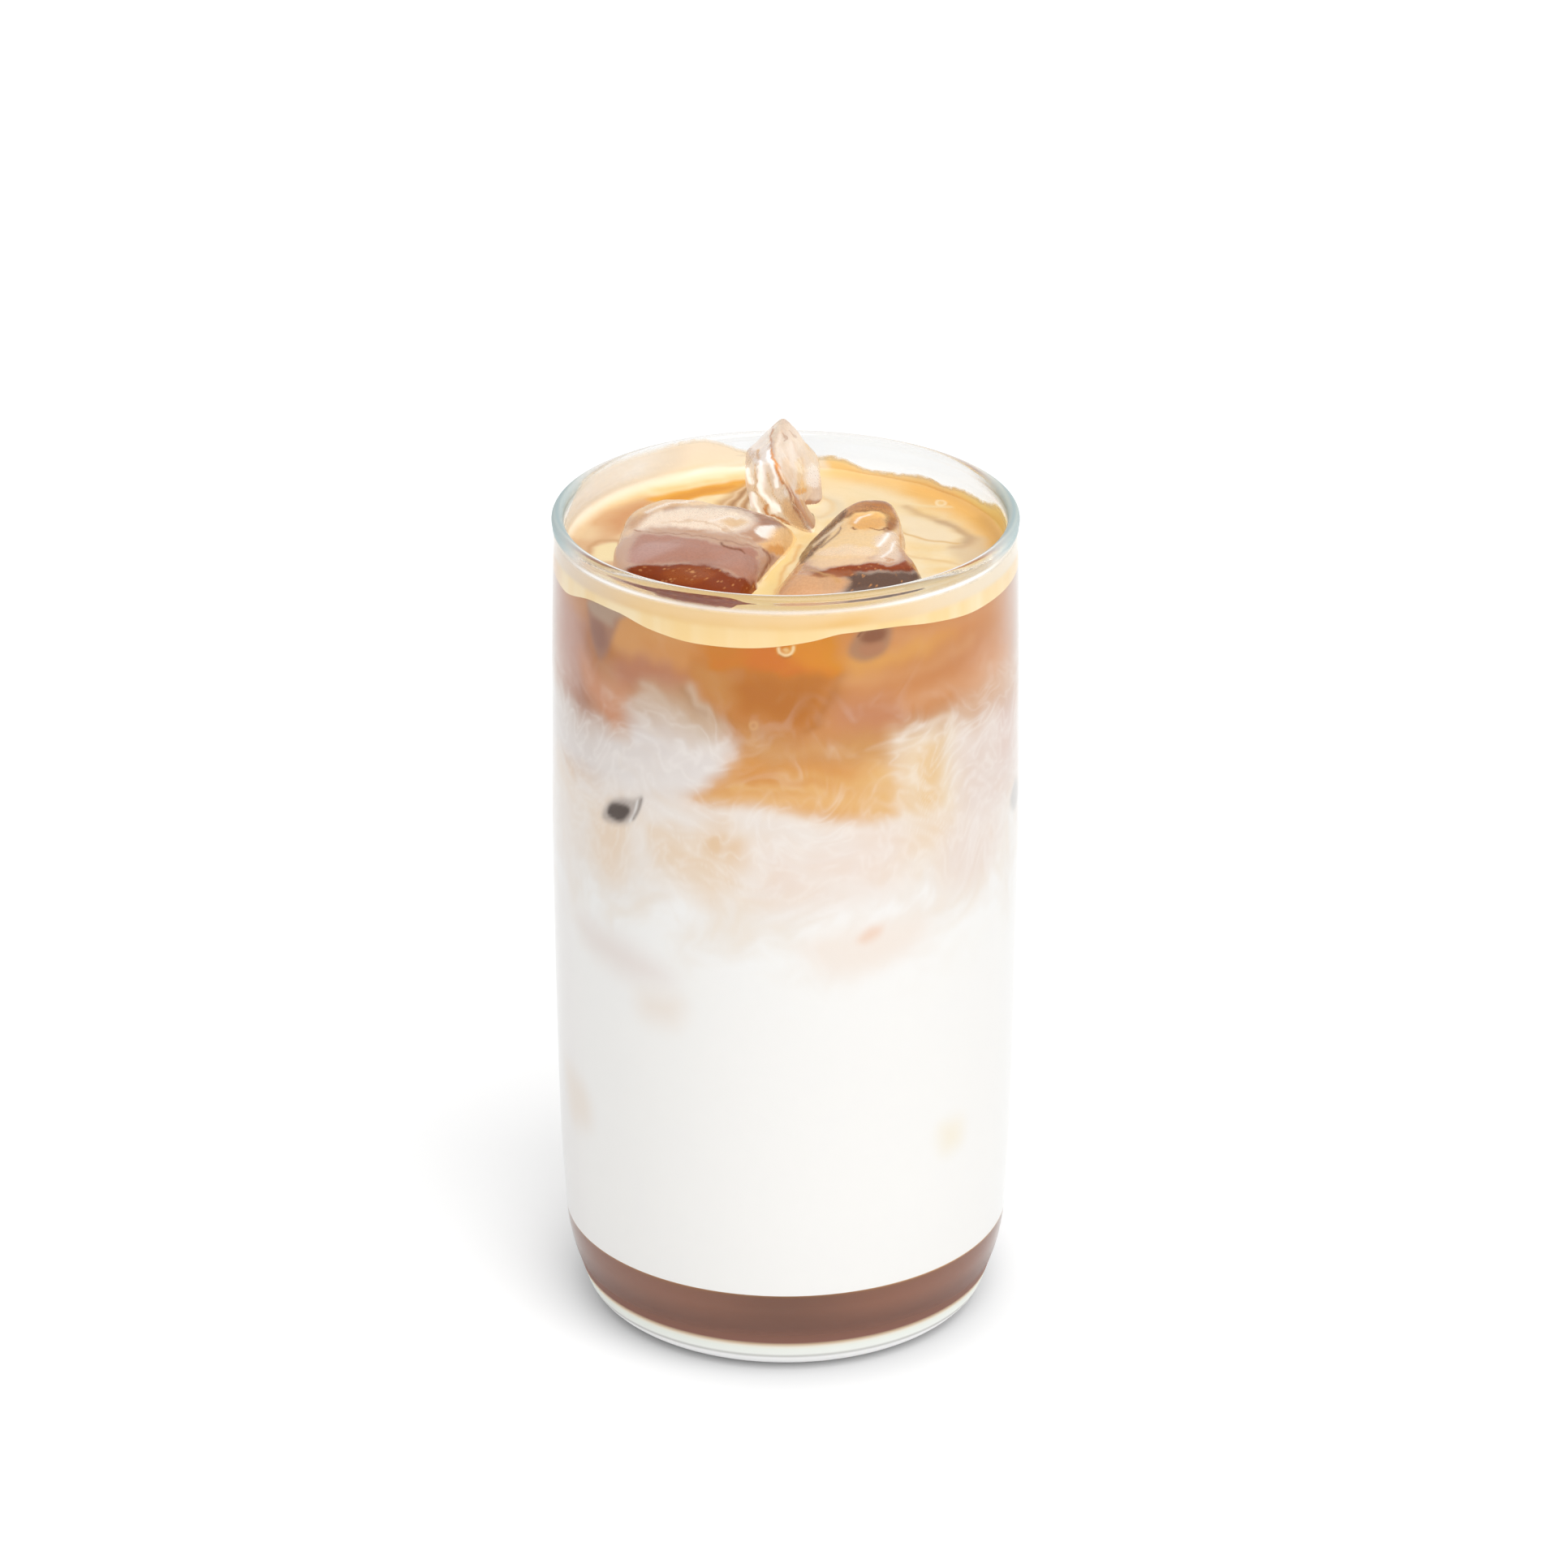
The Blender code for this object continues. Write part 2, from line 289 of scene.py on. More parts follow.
def scale_of(spacing):
    """Texture scale at which the spots lie this many millimetres apart."""
    return 1 / (spacing * MM)


def let_light_through(look, shader, loss=(1, 1, 1, 1)):
    """The shader as the eye meets it, and clear but for the loss to light on its way to what lies behind."""
    path = add(look, "ShaderNodeLightPath")
    gone = add(look, "ShaderNodeBsdfTransparent", Color=loss)
    mixed = shader
    for kind in ("Is Shadow Ray", "Is Diffuse Ray"):
        mixed = add(look, "ShaderNodeMixShader", _0=path.outputs[kind], _1=mixed.outputs[0], _2=gone.outputs[0])
    return mixed.outputs[0]


# %% [markdown]
# ## Noise and stirring
#
# Milk and coffee mix in folds, because the liquid is stirred before it blends. `noise` is gradient noise with a
# hashed lattice, which gives each place the same value on every run. `stir` carries each place back along a whirling
# flow whose speed is the noise's slope turned by a quarter turn, so it folds a pattern without squeezing it. A noise
# texture in the shader could cloud the drink as well, but it has no folds, and one couldn't say where a cloud lies.

# %% Noise


def noise(place, seed):
    """Gradient noise between about -1 and 1 at places (..., 3), the same on every run."""
    cell = np.floor(place).astype(np.int64)
    offset = place - cell
    weight = offset**3 * (offset * (offset * 6 - 15) + 10)
    total = 0.0
    for corner in np.ndindex(2, 2, 2):
        at = cell + corner
        mixed = (at[..., 0] * 73856093) ^ (at[..., 1] * 19349663) ^ (at[..., 2] * 83492791) ^ (seed * 2654435761)
        mixed = (mixed ^ (mixed >> 13)) * 1274126177 & 0x7FFFFFFF
        mixed = (mixed ^ (mixed >> 15)) & 0xFFFFFF
        turn = (mixed & 0xFFF) * (2 * np.pi / 4096)
        up = ((mixed >> 12) & 0xFFF) / 2047.5 - 1
        out = np.sqrt(np.clip(1 - up * up, 0, 1))
        away = offset - corner
        slope = away[..., 0] * out * np.cos(turn) + away[..., 1] * out * np.sin(turn) + away[..., 2] * up
        share = np.prod(np.where(corner, weight, 1 - weight), axis=-1)
        total = total + share * slope
    return total * 1.6


def layered(place, octaves, seed):
    """Noise at several sizes, each half the size and a little over half the strength of the one before."""
    total = 0.0
    for octave in range(octaves):
        total = total + noise(place * 2.0**octave, seed + octave) * 0.55**octave
    return total


print("Noise at one place, at 1, 2 and 4 sizes:", *(round(float(layered(np.full(3, 0.4), n, 1)), 3) for n in (1, 2, 4)))


# %% Stirring
WALL_RADIUS = 36.0
ROUND = 2 * np.pi * WALL_RADIUS


def around(across):
    """The same distance round the wall, brought to within half a turn of the front."""
    return (across + ROUND / 2) % ROUND - ROUND / 2


def on_wall(across, height):
    """Point in space of a place on the wall, given by its distance round from the front and its height."""
    turn = across / WALL_RADIUS - np.pi / 2
    return np.stack([WALL_RADIUS * np.cos(turn), WALL_RADIUS * np.sin(turn), height], axis=-1)


def on_top(x, y):
    """Point in the level plane where the noise for the top of the drink is read."""
    return np.stack([x, y, np.full(np.shape(x), 7.3)], axis=-1)


def stir(a, b, embed, size, reach, steps, seed):
    """Where the liquid at (a, b) came from, after whirls of the given size have carried it along."""
    h = 0.05 * size
    for step in range(steps):
        here = noise(embed(a, b) / size, seed)
        slope_a = (noise(embed(a + h, b) / size, seed) - here) / h * size
        slope_b = (noise(embed(a, b + h) / size, seed) - here) / h * size
        a = a + slope_b * reach / steps
        b = b - slope_a * reach / steps
    return a, b


def strokes(a, b, table):
    """Sum of soft oval strokes: place along a and b, half-length, half-width, tilt in degrees, and strength."""
    total = 0.0
    for at_a, at_b, long, wide, tilt, strength in table:
        lean = np.radians(tilt)
        along = (a - at_a) * np.cos(lean) + (b - at_b) * np.sin(lean)
        beside = (b - at_b) * np.cos(lean) - (a - at_a) * np.sin(lean)
        total = total + strength * np.exp(-((along / long) ** 2) - (beside / wide) ** 2)
    return total


moved = stir(np.zeros(1), np.full(1, 100.0), on_wall, 15.0, 2.2, 5, 11)
print("Stirring carries the place at 0, 100 back to", *(round(float(part[0]), 2) for part in moved))

# %% [markdown]
# ## The tumbler
#
# One turned skin: a slightly hollow underside, a flat foot ring, a thick rounded base, a thin wall and a fire-polished
# bead. It could be a curve with a Screw modifier. Turned by numpy, each row's place on the outline is known, so single
# rows can be painted. The outline starts under the middle, climbs the outside, goes round the bead and comes down the
# inside to the middle of the floor. Where lines are painted later, on the bead and just below it, the rows are dense.

# %% The tumbler's outline


def tumbler_profile():
    """Radius and height of each row: a parabola, the ring, the table's curve, the bead's arc, and the inside back."""
    profile = [(radius, UNDERSIDE_RISE * (1 - (radius / FOOT_RING[0]) ** 2)) for radius in (4, 8, 12, 16, 20, 23)]
    profile += [(FOOT_RING[0], 0.0), (26.5, 0.0), (28.5, 0.0), (29.6, 0.02)]
    heights = np.concatenate([np.linspace(0, 20, 40)[1:], np.linspace(21, WALL_TOP, 60)])
    profile += [(outer_radius(z), z) for z in heights]
    neck = (WALL_TOP, 137.25)
    neck_rows = (135.3, 135.6, 135.9, 136.2, 136.5, 136.8, 137.05)
    profile += [(np.interp(z, neck, (37.25, 37.41)), z) for z in neck_rows]
    for turn in np.radians(np.linspace(-25, 205, 24)):
        bead = RIM_HEIGHT - BEAD_RADIUS + BEAD_RADIUS * np.sin(turn)
        profile.append((BEAD_RING + BEAD_RADIUS * np.cos(turn), bead))
    profile += [(np.interp(z, neck, (35.35, 35.69)), z) for z in neck_rows[:0:-1]]
    profile += [(inner_radius(z), z) for z in np.linspace(WALL_TOP, FLOOR_TOP + FLOOR_CORNER + 0.5, 60)]
    profile += floor_corner(0.0)[::-1]
    profile += [(radius, FLOOR_TOP) for radius in (22, 16, 10, 4)]
    return profile


def floor_corner(clear, count=16):
    """The rounded corner of the floor from the bottom up: a quarter circle, drawn in by a clearance."""
    top = FLOOR_TOP + FLOOR_CORNER
    across = inner_radius(top) - FLOOR_CORNER
    bend = FLOOR_CORNER - clear
    turns = np.radians(np.linspace(90, 0, count))
    return [(across + bend * np.cos(turn), top - bend * np.sin(turn)) for turn in turns]


glass_points = turned(tumbler_profile(), 288)
OUTSIDE_ROWS = 116  # the rows of the outline below the bead
print("The tumbler's outline has", len(glass_points), "rows, and the bead starts after row", OUTSIDE_ROWS)

# %% [markdown]
# ### The glass
#
# Soda-lime glass, moulded and fire-polished, so it has no roughness at all. Its iron gives it a faint grey-green where
# one looks along it, so the material swallows a little light on the way through. The grey-green that draws the ends of
# the rim is a painted reflection of darker surroundings: a grey diffuse mixed in where the glass is seen edge-on.
# Glass also keeps light from what stands in it when only straight paths are followed to the lamps. A render could
# follow bent paths at a great cost in time. Here the material lets shadow rays and scattered light through unbent, and
# only what the eye sees directly is refracted.

# %% The glass
# clear and sharp in the middle, a little greyer above the drink, with a painted grey-green reflection along the edges
glass_look = new_material("Clear soda-lime glass")
glass_place = add(glass_look, "ShaderNodeTexCoord")
glass_height = add(glass_look, "ShaderNodeSeparateXYZ", _0=glass_place.outputs["Object"])
glass_wall = add(glass_look, "ShaderNodeMapRange", Value=glass_height.outputs["Z"], From_Min=0.129, From_Max=0.135)
glass_tone = add(
    glass_look, "ShaderNodeMix", {"data_type": "RGBA"}, Factor=glass_wall.outputs[0], A=rgba("#fdfdfd"),
    B=rgba("#e9eaea")
)
glass_shader = add(
    glass_look, "ShaderNodeBsdfPrincipled", Base_Color=glass_tone.outputs["Result"], Roughness=0.0, IOR=1.5,
    Transmission_Weight=1.0
)
glass_paint = add(glass_look, "ShaderNodeAttribute", {"attribute_name": "tint"})
# a diffuse that carries the painted reflections and the painted bands of the foot
glass_painted_lines_diffuse = add(glass_look, "ShaderNodeBsdfDiffuse", Color=glass_paint.outputs["Color"])
glass_facing = add(glass_look, "ShaderNodeLayerWeight", Blend=0.5)
glass_most = add(
    glass_look, "ShaderNodeMapRange", Value=glass_height.outputs["Z"], From_Min=0.1366, From_Max=0.1374, To_Min=0.08,
    To_Max=0.5
)
glass_painted_edge_share = add(
    glass_look, "ShaderNodeMapRange", Value=glass_facing.outputs["Facing"], From_Min=0.64, From_Max=0.94, To_Min=0.0,
    To_Max=glass_most.outputs[0]
)
# painted reflection: a grey-green diffuse where the glass is seen edge-on
glass_painted_edge_grey = add(glass_look, "ShaderNodeBsdfDiffuse", Color=rgba("#aebfbf"))
glass_edge = add(
    glass_look, "ShaderNodeMixShader", _0=glass_painted_edge_share.outputs[0], _1=glass_shader.outputs[0], _2=glass_painted_edge_grey.outputs[0]
)
glass_loss = add(
    glass_look, "ShaderNodeMapRange", Value=glass_height.outputs["Z"], From_Min=0.007, From_Max=0.013, To_Min=0.1,
    To_Max=1.0
)
glass_foot = add(
    glass_look, "ShaderNodeMixShader", _0=glass_paint.outputs["Alpha"], _1=glass_edge.outputs[0],
    _2=glass_painted_lines_diffuse.outputs[0]
)
glass_depth = add(glass_look, "ShaderNodeVolumeAbsorption", Color=rgba("#b4c4c1"), Density=10.0)
add(glass_look, "ShaderNodeOutputMaterial", Surface=let_light_through(glass_look, glass_foot, glass_loss.outputs[0]),
    Volume=glass_depth.outputs[0])

# %% [markdown]
# ### Lines on the rim and the foot
#
# A glass rim is drawn by reflections of lamps and windows that this plain studio doesn't have. They could be had with
# a room of cards and strip lights round the glass. Here they are painted: the `tint` layer holds a colour and a share,
# and the material is a milky white by that share. The bead has a bright line in front, a paler one at the back and
# grey-green ends, the wall a line below the bead, and the foot the pale and brown bands that its thick glass shows.

# %% Lines on the rim and the foot
# painted bands on the foot: pale where its thick glass gathers light from the table, and the syrup's brown seen through
# it
glass_painted_lines = ramp(
    glass_points[..., 2] / 8.0,
    (
        (0.0, "#e6dcd8"), (0.03, "#e0d6d2"), (0.09, "#ffffff"), (0.33, "#fcfcfb"), (0.375, "#bdbbb8"),
        (0.42, "#f1f3ee"), (0.6, "#ebeee6"), (0.66, "#ece5d6"), (0.72, "#cdae8a"), (0.76, "#8c6458"), (1.0, "#8e6455"),
    ),
)
glass_share = np.interp(glass_points[..., 2], (0.0, 5.2, 7.4, 12.0), (0.92, 0.9, 0.72, 0.0))
outside = (np.arange(len(glass_points)) < OUTSIDE_ROWS)[:, None]
glass_x, glass_y, glass_z = np.moveaxis(glass_points, -1, 0)
glass_turn = np.degrees(np.arctan2(glass_z - RIM_HEIGHT + BEAD_RADIUS, np.hypot(glass_x, glass_y) - BEAD_RING))
# painted reflections on the bead: grey-green at its ends, a highlight along its front, a paler line at the back, and a
# highlight on the wall below it
ends = ease(np.abs(glass_x), 30.0, 36.5)
on_bead = ease(glass_z, 136.2, 136.8)
shine = 0.9 * on_bead * np.exp(-(((glass_turn - 98) / 13) ** 2)) * ease(-glass_y, 6.0, 20.0)
low_line = np.exp(-(((glass_z - 136.0) / 0.36) ** 2)) * outside * ease(-glass_y, 0.0, 10.0)
low_line = low_line * (0.5 + 0.4 * ease(np.abs(glass_x + 2), 12.0, 26.0))
pale = 0.7 * on_bead * np.exp(-(((glass_turn - 70) / 60) ** 2)) * ease(glass_y, 4.0, 14.0) * (1 - ends)
glass_painted_lines = blend(glass_painted_lines, colour("#f1efec"), ease(glass_z, 120, 130))
glass_painted_lines = blend(glass_painted_lines, colour("#ffffff"), 2 * (shine + low_line))
glass_painted_lines = blend(glass_painted_lines, colour("#b4c4c5"), on_bead * ends)
glass_share = glass_share * outside + np.clip(0.85 * on_bead * ends + pale + (shine + low_line) * (1 - ends), 0, 0.9)
glass_painted_lines = np.concatenate([glass_painted_lines, glass_share[..., None]], axis=-1)
glass = surface(
    "glass_wall", glass_points, glass_look, {"tint": glass_painted_lines}, first=(0, 0, UNDERSIDE_RISE), last=(0, 0, FLOOR_TOP)
)
settle(glass, "glass", "glass")

# %% [markdown]
# ## Painting the drink
#
# The colour of the drink against the glass is painted like a watercolour, over the distance round from the front and
# the height. `strength` is the ground: how much coffee there is at each place, from 0 for milk to 1 for neat coffee,
# carried along by whirls so that the two meet in folds. Washes go over it. Each is a closed outline with a tone, an
# opacity and the width over which its edge fades, and threads are soft lines, such as the bright edges where milk
# curls into coffee.
#
# The clouds could come from a fluid simulation, but that gives some cloud, and a likeness needs these. The paint is
# kept on the points of the mesh, which are closest together at the front, so it needs no image.

# %% A brush


def smooth_path(points, closed, parts=5):
    """Places along a smooth curve through the points (Catmull-Rom), as arrays of a and b."""
    points = np.asarray(points, float)
    before, after = (points[-1:], points[:2]) if closed else (points[:1], points[-1:])
    line = np.concatenate([before, points, after])
    t = np.linspace(0, 1, parts, endpoint=False)[:, None, None]
    p, q, r, s = (line[i : len(line) - 3 + i][None] for i in range(4))
    curve = 0.5 * (2 * q + (r - p) * t + (2 * p - 5 * q + 4 * r - s) * t**2 + (3 * q - p - 3 * r + s) * t**3)
    curve = curve.transpose(1, 0, 2).reshape(-1, 2)
    return curve if closed else np.concatenate([curve, points[-1:]])


def path_distance(a, b, line):
    """Distance from each place to a line of straight pieces, and whether the place lies inside it."""
    nearest = np.full(a.shape, 1e9)
    inside = np.zeros(a.shape, bool)
    for (a0, b0), (a1, b1) in zip(line[:-1], line[1:], strict=True):
        da, db = a1 - a0, b1 - b0
        t = np.clip(((a - a0) * da + (b - b0) * db) / (da * da + db * db + 1e-12), 0, 1)
        nearest = np.minimum(nearest, (a - a0 - t * da) ** 2 + (b - b0 - t * db) ** 2)
        if b0 != b1:
            inside ^= ((b0 > b) != (b1 > b)) & (a < a0 + (b - b0) * da / db)
    return np.sqrt(nearest), inside


def painted(paint, a, b, marks):
    """Lays marks over the paint: tone, opacity, softness, kind ("wash" or "thread") and its points."""
    paint = paint.copy()
    for tone, share, soft, kind, *points in marks:
        line = smooth_path(points, kind == "wash")
        line = np.concatenate([line, line[:1]]) if kind == "wash" else line
        (low_a, low_b), (high_a, high_b) = line.min(0) - 2.5 * soft, line.max(0) + 2.5 * soft
        near = (a > low_a) & (a < high_a) & (b > low_b) & (b < high_b)
        away, inside = path_distance(a[near], b[near], line)
        if kind == "wash":
            cover = ease(np.where(inside, away, -away), -soft, soft)
        else:
            cover = np.exp(-((away / soft) ** 2))
        paint[near] = blend(paint[near], colour(tone), share * cover)
    return paint


# %% [markdown]
# ### The washes on the side
#
# Each line is a tone, how much of it is laid on, how far its edge fades in millimetres, its kind, and its outline as
# places round the wall from the front and up. They are laid from broad to fine, and from the crema down to the milk.

# %% The left flank and the band under the crema
UPPER_LEFT = (
    # the left flank of the milk, greyer and mauve: painted shade on the side away from the lamp
    ("#f0e9e6", 0.45, 6.0, "wash", (-62, 14), (-45, 14), (-42, 40), (-42, 70), (-45, 95), (-62, 95)),
    # from the grey edge of the glass, a painted reflection, to the mauve behind it
    ("#dccabf", 0.75, 3.0, "wash", (-62, 134), (-49, 133), (-47, 124), (-47.5, 115), (-62, 113)),
    ("#cfa594", 0.8, 3.0, "wash", (-50, 132), (-44, 131.5), (-40, 126), (-37.5, 119), (-41, 114), (-49, 115)),
    ("#c69684", 0.6, 2.6, "wash", (-45.5, 129), (-40, 128.5), (-37.5, 122), (-40, 118), (-45, 120)),
    ("#d39b70", 0.65, 2.2, "wash", (-45.5, 131), (-36, 131.5), (-36.5, 127.5), (-43, 127.5)),
    # the tan band under the crema, the mauve blob and the tongue that runs down beside the sunk ice
    ("#dca066", 0.9, 2.0, "wash", (-31, 133), (-14, 133), (-12, 126), (-20, 124), (-29.5, 124.8)),
    ("#d4935a", 0.6, 1.6, "wash", (-24, 128), (-13, 129), (-11, 125), (-20, 124.6)),
    ("#c08468", 0.85, 2.0, "wash", (-29.5, 123.5), (-23, 125.2), (-15, 124), (-18, 121.5), (-24, 120), (-28.5, 119)),
    ("#d59672", 0.9, 2.6, "wash", (-38.5, 121), (-35, 120), (-31, 119), (-26.5, 119.5), (-25.5, 116.5),
     (-27.5, 113.5), (-31.5, 112), (-36, 114.5)),
    ("#dfb492", 0.2, 2.0, "wash", (-33, 121.5), (-29.5, 122.5), (-27.5, 118), (-28.5, 115), (-31.5, 116)),
)

# %% The milk cloud on the left
LEFT_CLOUD = (
    ("#e6deda", 0.95, 3.2, "wash", (-62, 113), (-46, 111.5), (-37, 110.2), (-28.5, 111.5), (-26, 115), (-22.5, 117),
     (-17, 117.6), (-13, 117.4), (-10.4, 115), (-8.4, 112.6), (-8.4, 110.8), (-11, 106.5), (-15, 102.5), (-24, 101),
     (-40, 101), (-62, 102)),
    ("#cfb197", 0.78, 3.0, "wash", (-26.5, 116.5), (-22.5, 120.4), (-17, 121.8), (-12.2, 119.8), (-10, 116.6),
     (-11.5, 114), (-17, 113.6), (-23.5, 114)),
    ("#c2996f", 0.6, 2.4, "wash", (-16.5, 121.6), (-12, 120), (-9.6, 116.2), (-11.6, 114.6), (-15, 117)),
    ("#d9c8bc", 0.6, 4.1, "wash", (-47, 112), (-40, 111), (-33, 110), (-36, 107), (-46, 107)),
)

# %% The brown drop that hangs in the middle, and the deep orange over it
HANGING_DROP = (
    ("#c98349", 0.9, 1.1, "wash", (-15, 127), (-14, 122), (-12, 119.3), (-8.2, 118), (-5, 116.2), (-1.5, 115),
     (2, 115.6), (5, 118.2), (8, 121.4), (8.3, 124.4), (2, 125.6), (-5, 126), (-10, 127)),
    ("#ba7335", 0.75, 2.7, "wash", (-8, 124.6), (-1, 125), (5.4, 124), (6.4, 121), (2.4, 117.4), (-2.6, 117.6),
     (-6.4, 120)),
    ("#cf9a60", 0.5, 2.2, "wash", (-14.2, 126), (-13.4, 122), (-10, 118.8), (-8, 120), (-8.6, 124.5)),
    ("#d67d18", 0.95, 1.0, "wash", (-12, 126), (-8, 126.8), (-4, 125.8), (2, 125.2), (8.5, 125), (10, 129),
     (9, 133.5), (0, 133), (-6, 132), (-13, 132)),
    ("#df901c", 0.85, 1.4, "wash", (0.5, 132), (9.4, 132), (8.6, 126), (3, 125.8)),
    ("#cf8542", 0.8, 2.7, "wash", (-16, 131.5), (-8, 131), (-7.5, 127.5), (-13.5, 126.5)),
)

# %% The tan right side, streaked along its length
RIGHT_SIDE = (
    ("#d49360", 0.9, 3.0, "wash", (9.5, 133), (47, 132), (47, 118), (38, 116), (30, 114.8), (20, 115.8), (16, 114),
     (9, 113), (1, 112.8), (4.5, 117), (8.3, 121), (9, 125)),
    ("#e2a65e", 0.75, 2.2, "wash", (9.6, 128), (17, 127.8), (22, 129.4), (30, 128.6), (27, 126.2), (17, 124.7),
     (10, 125)),
    ("#c98454", 0.65, 3.0, "wash", (19, 125), (34, 126), (38, 122), (25, 121), (17, 122.3)),
    ("#d2894f", 0.55, 2.2, "wash", (22, 131), (38, 131), (36, 127.4), (26, 127.8)),
    ("#c6886a", 0.65, 3.2, "wash", (8.5, 119.5), (15, 120.3), (19.5, 117.5), (17, 113.6), (10, 113.6)),
    ("#dda279", 0.7, 3.8, "wash", (33, 122.5), (44, 122), (47, 114), (36, 113.5)),
    ("#dabba9", 0.9, 6.4, "wash", (45, 133), (62, 133), (62, 110), (48, 112), (45.5, 120)),
    ("#dfd1c8", 0.7, 3.5, "wash", (52, 133), (64, 133), (64, 100), (54, 100)),
)

# %% The amber tongue that sinks between the clouds
AMBER_TONGUE = (
    ("#d09660", 0.9, 3.0, "wash", (-8, 117), (-4, 116), (2, 115.2), (10, 114.6), (17, 113.8), (18, 108), (10, 107),
     (0, 108), (-7.4, 110.5)),
    ("#e0a465", 0.95, 2.0, "wash", (-8.7, 110.6), (-4, 110.6), (2, 110), (9, 110), (16, 109), (18.6, 104.5),
     (18.4, 100.4), (15, 99), (8, 99.6), (4, 100.6), (0, 101.8), (-6, 102.4), (-11.5, 101.8), (-16.6, 101.8),
     (-13, 105), (-10, 108)),
    ("#ecbc80", 0.75, 2.2, "wash", (-13, 103.2), (-6, 104.8), (4, 105.6), (14, 104.6), (19, 102), (16, 99.6),
     (4, 102), (-6, 103.4)),
    ("#d7924f", 0.55, 2.0, "wash", (-6, 109.8), (5, 110.2), (10, 107.8), (1, 106.3), (-7.4, 107.2)),
    ("#e9bb80", 0.85, 4.0, "wash", (13.6, 110.4), (18.4, 110), (20.6, 105), (19.6, 99.4), (14, 98.8), (12.6, 104)),
    ("#d09a62", 0.6, 2.4, "wash", (9, 113.6), (16, 114), (20, 112.6), (17.6, 109.6), (10, 110.6)),
)

# %% The cream cloud on the right and the paler column beside it
RIGHT_CLOUD = (
    ("#efdcc2", 0.84, 4.0, "wash", (17.4, 112.6), (18.6, 113.6), (21, 114), (25, 113.8), (29, 113.2), (32, 112),
     (31.6, 108), (30, 104), (28.6, 98.5), (24, 95.5), (21, 97), (19.4, 103), (18, 108)),
    ("#ecc692", 0.8, 3.0, "wash", (20.6, 109.4), (25.5, 109.8), (27.4, 104.5), (26, 98), (22, 98), (19.4, 104)),
    ("#e8d6cc", 0.92, 3.8, "wash", (30, 112), (34, 110.4), (40, 110.8), (48, 108), (53, 102), (51, 95), (40, 94),
     (32, 96), (30, 104)),
    ("#e2c6ba", 0.65, 3.8, "wash", (41, 109.4), (49, 110), (50.5, 103), (43, 100.5)),
    ("#e3bfa2", 0.7, 3.5, "wash", (31, 116), (48, 117.5), (50, 110.5), (38, 111.6), (32, 112.4)),
)

# %% The white swirl under the tongue and the peach clouds in the milk below it
IN_THE_MILK = (
    ("#efe5dd", 0.9, 2.6, "wash", (-26, 99.6), (-22, 102.4), (-18.6, 103.6), (-15.6, 103), (-14.5, 102), (-6, 102.4),
     (0, 101.8), (6, 100), (12, 98.8), (20, 98.2), (28, 97), (22, 94), (8, 95), (-4, 97.4), (-12, 96.3), (-20, 96.8)),
    ("#efd6bc", 0.8, 4.1, "wash", (-35, 95.5), (-28.5, 96), (-26.5, 91), (-30, 85.5), (-36, 88.5)),
    ("#eed5ba", 0.85, 3.5, "wash", (-23.5, 97.2), (-15, 97.6), (-8, 99), (-4.6, 95.5), (-6.5, 90), (-11, 85.6),
     (-16.5, 88), (-21.5, 91.5)),
    ("#e7c093", 0.75, 2.3, "wash", (-13.5, 97.8), (-9.5, 99.6), (-7, 96.4), (-8.6, 92.6), (-12, 94.5)),
    ("#efd5b8", 0.75, 3.2, "wash", (19, 96.6), (27, 98), (27.4, 92.6), (20.5, 92)),
    ("#ecd0b8", 0.6, 2.7, "wash", (11, 97), (16, 97.8), (19, 95), (13, 94)),
    ("#f0dfd4", 0.85, 5.4, "wash", (-4, 96), (10, 96.6), (18, 94), (17, 88), (4, 86), (-4, 88)),
    ("#ecdacf", 0.75, 4.1, "wash", (28, 94), (38, 95), (42, 88), (34, 83), (27, 87)),
    ("#f0e4da", 0.7, 6.4, "wash", (-50, 97), (-40, 97), (-38, 86), (-50, 86)),
    ("#f5e9df", 0.9, 3.2, "wash", (2.5, 79), (8, 81), (14, 81.5), (22, 81), (23, 77.5), (16, 74), (7, 73.4)),
    ("#f1cbb2", 0.75, 1.2, "wash", (11.6, 79.2), (13.2, 80.8), (15.2, 80.8), (14.6, 79.4), (12.6, 78.6)),
    ("#ece0da", 0.75, 3.8, "wash", (-39, 74.5), (-28, 75), (-19, 71), (-26, 69), (-36, 71)),
    ("#f1e4d8", 0.7, 3.5, "wash", (-24, 67), (-17, 67.5), (-18, 63), (-24, 63)),
    ("#f1e3d5", 0.7, 3.2, "wash", (-47, 45), (-39, 44), (-38, 38), (-45, 36)),
    ("#f6ead0", 0.6, 2.7, "wash", (27, 41.5), (31.5, 41.5), (32, 37.5), (28, 37)),
)
SIDE_MARKS = (
    UPPER_LEFT + LEFT_CLOUD + HANGING_DROP + RIGHT_SIDE + AMBER_TONGUE + RIGHT_CLOUD + IN_THE_MILK
)

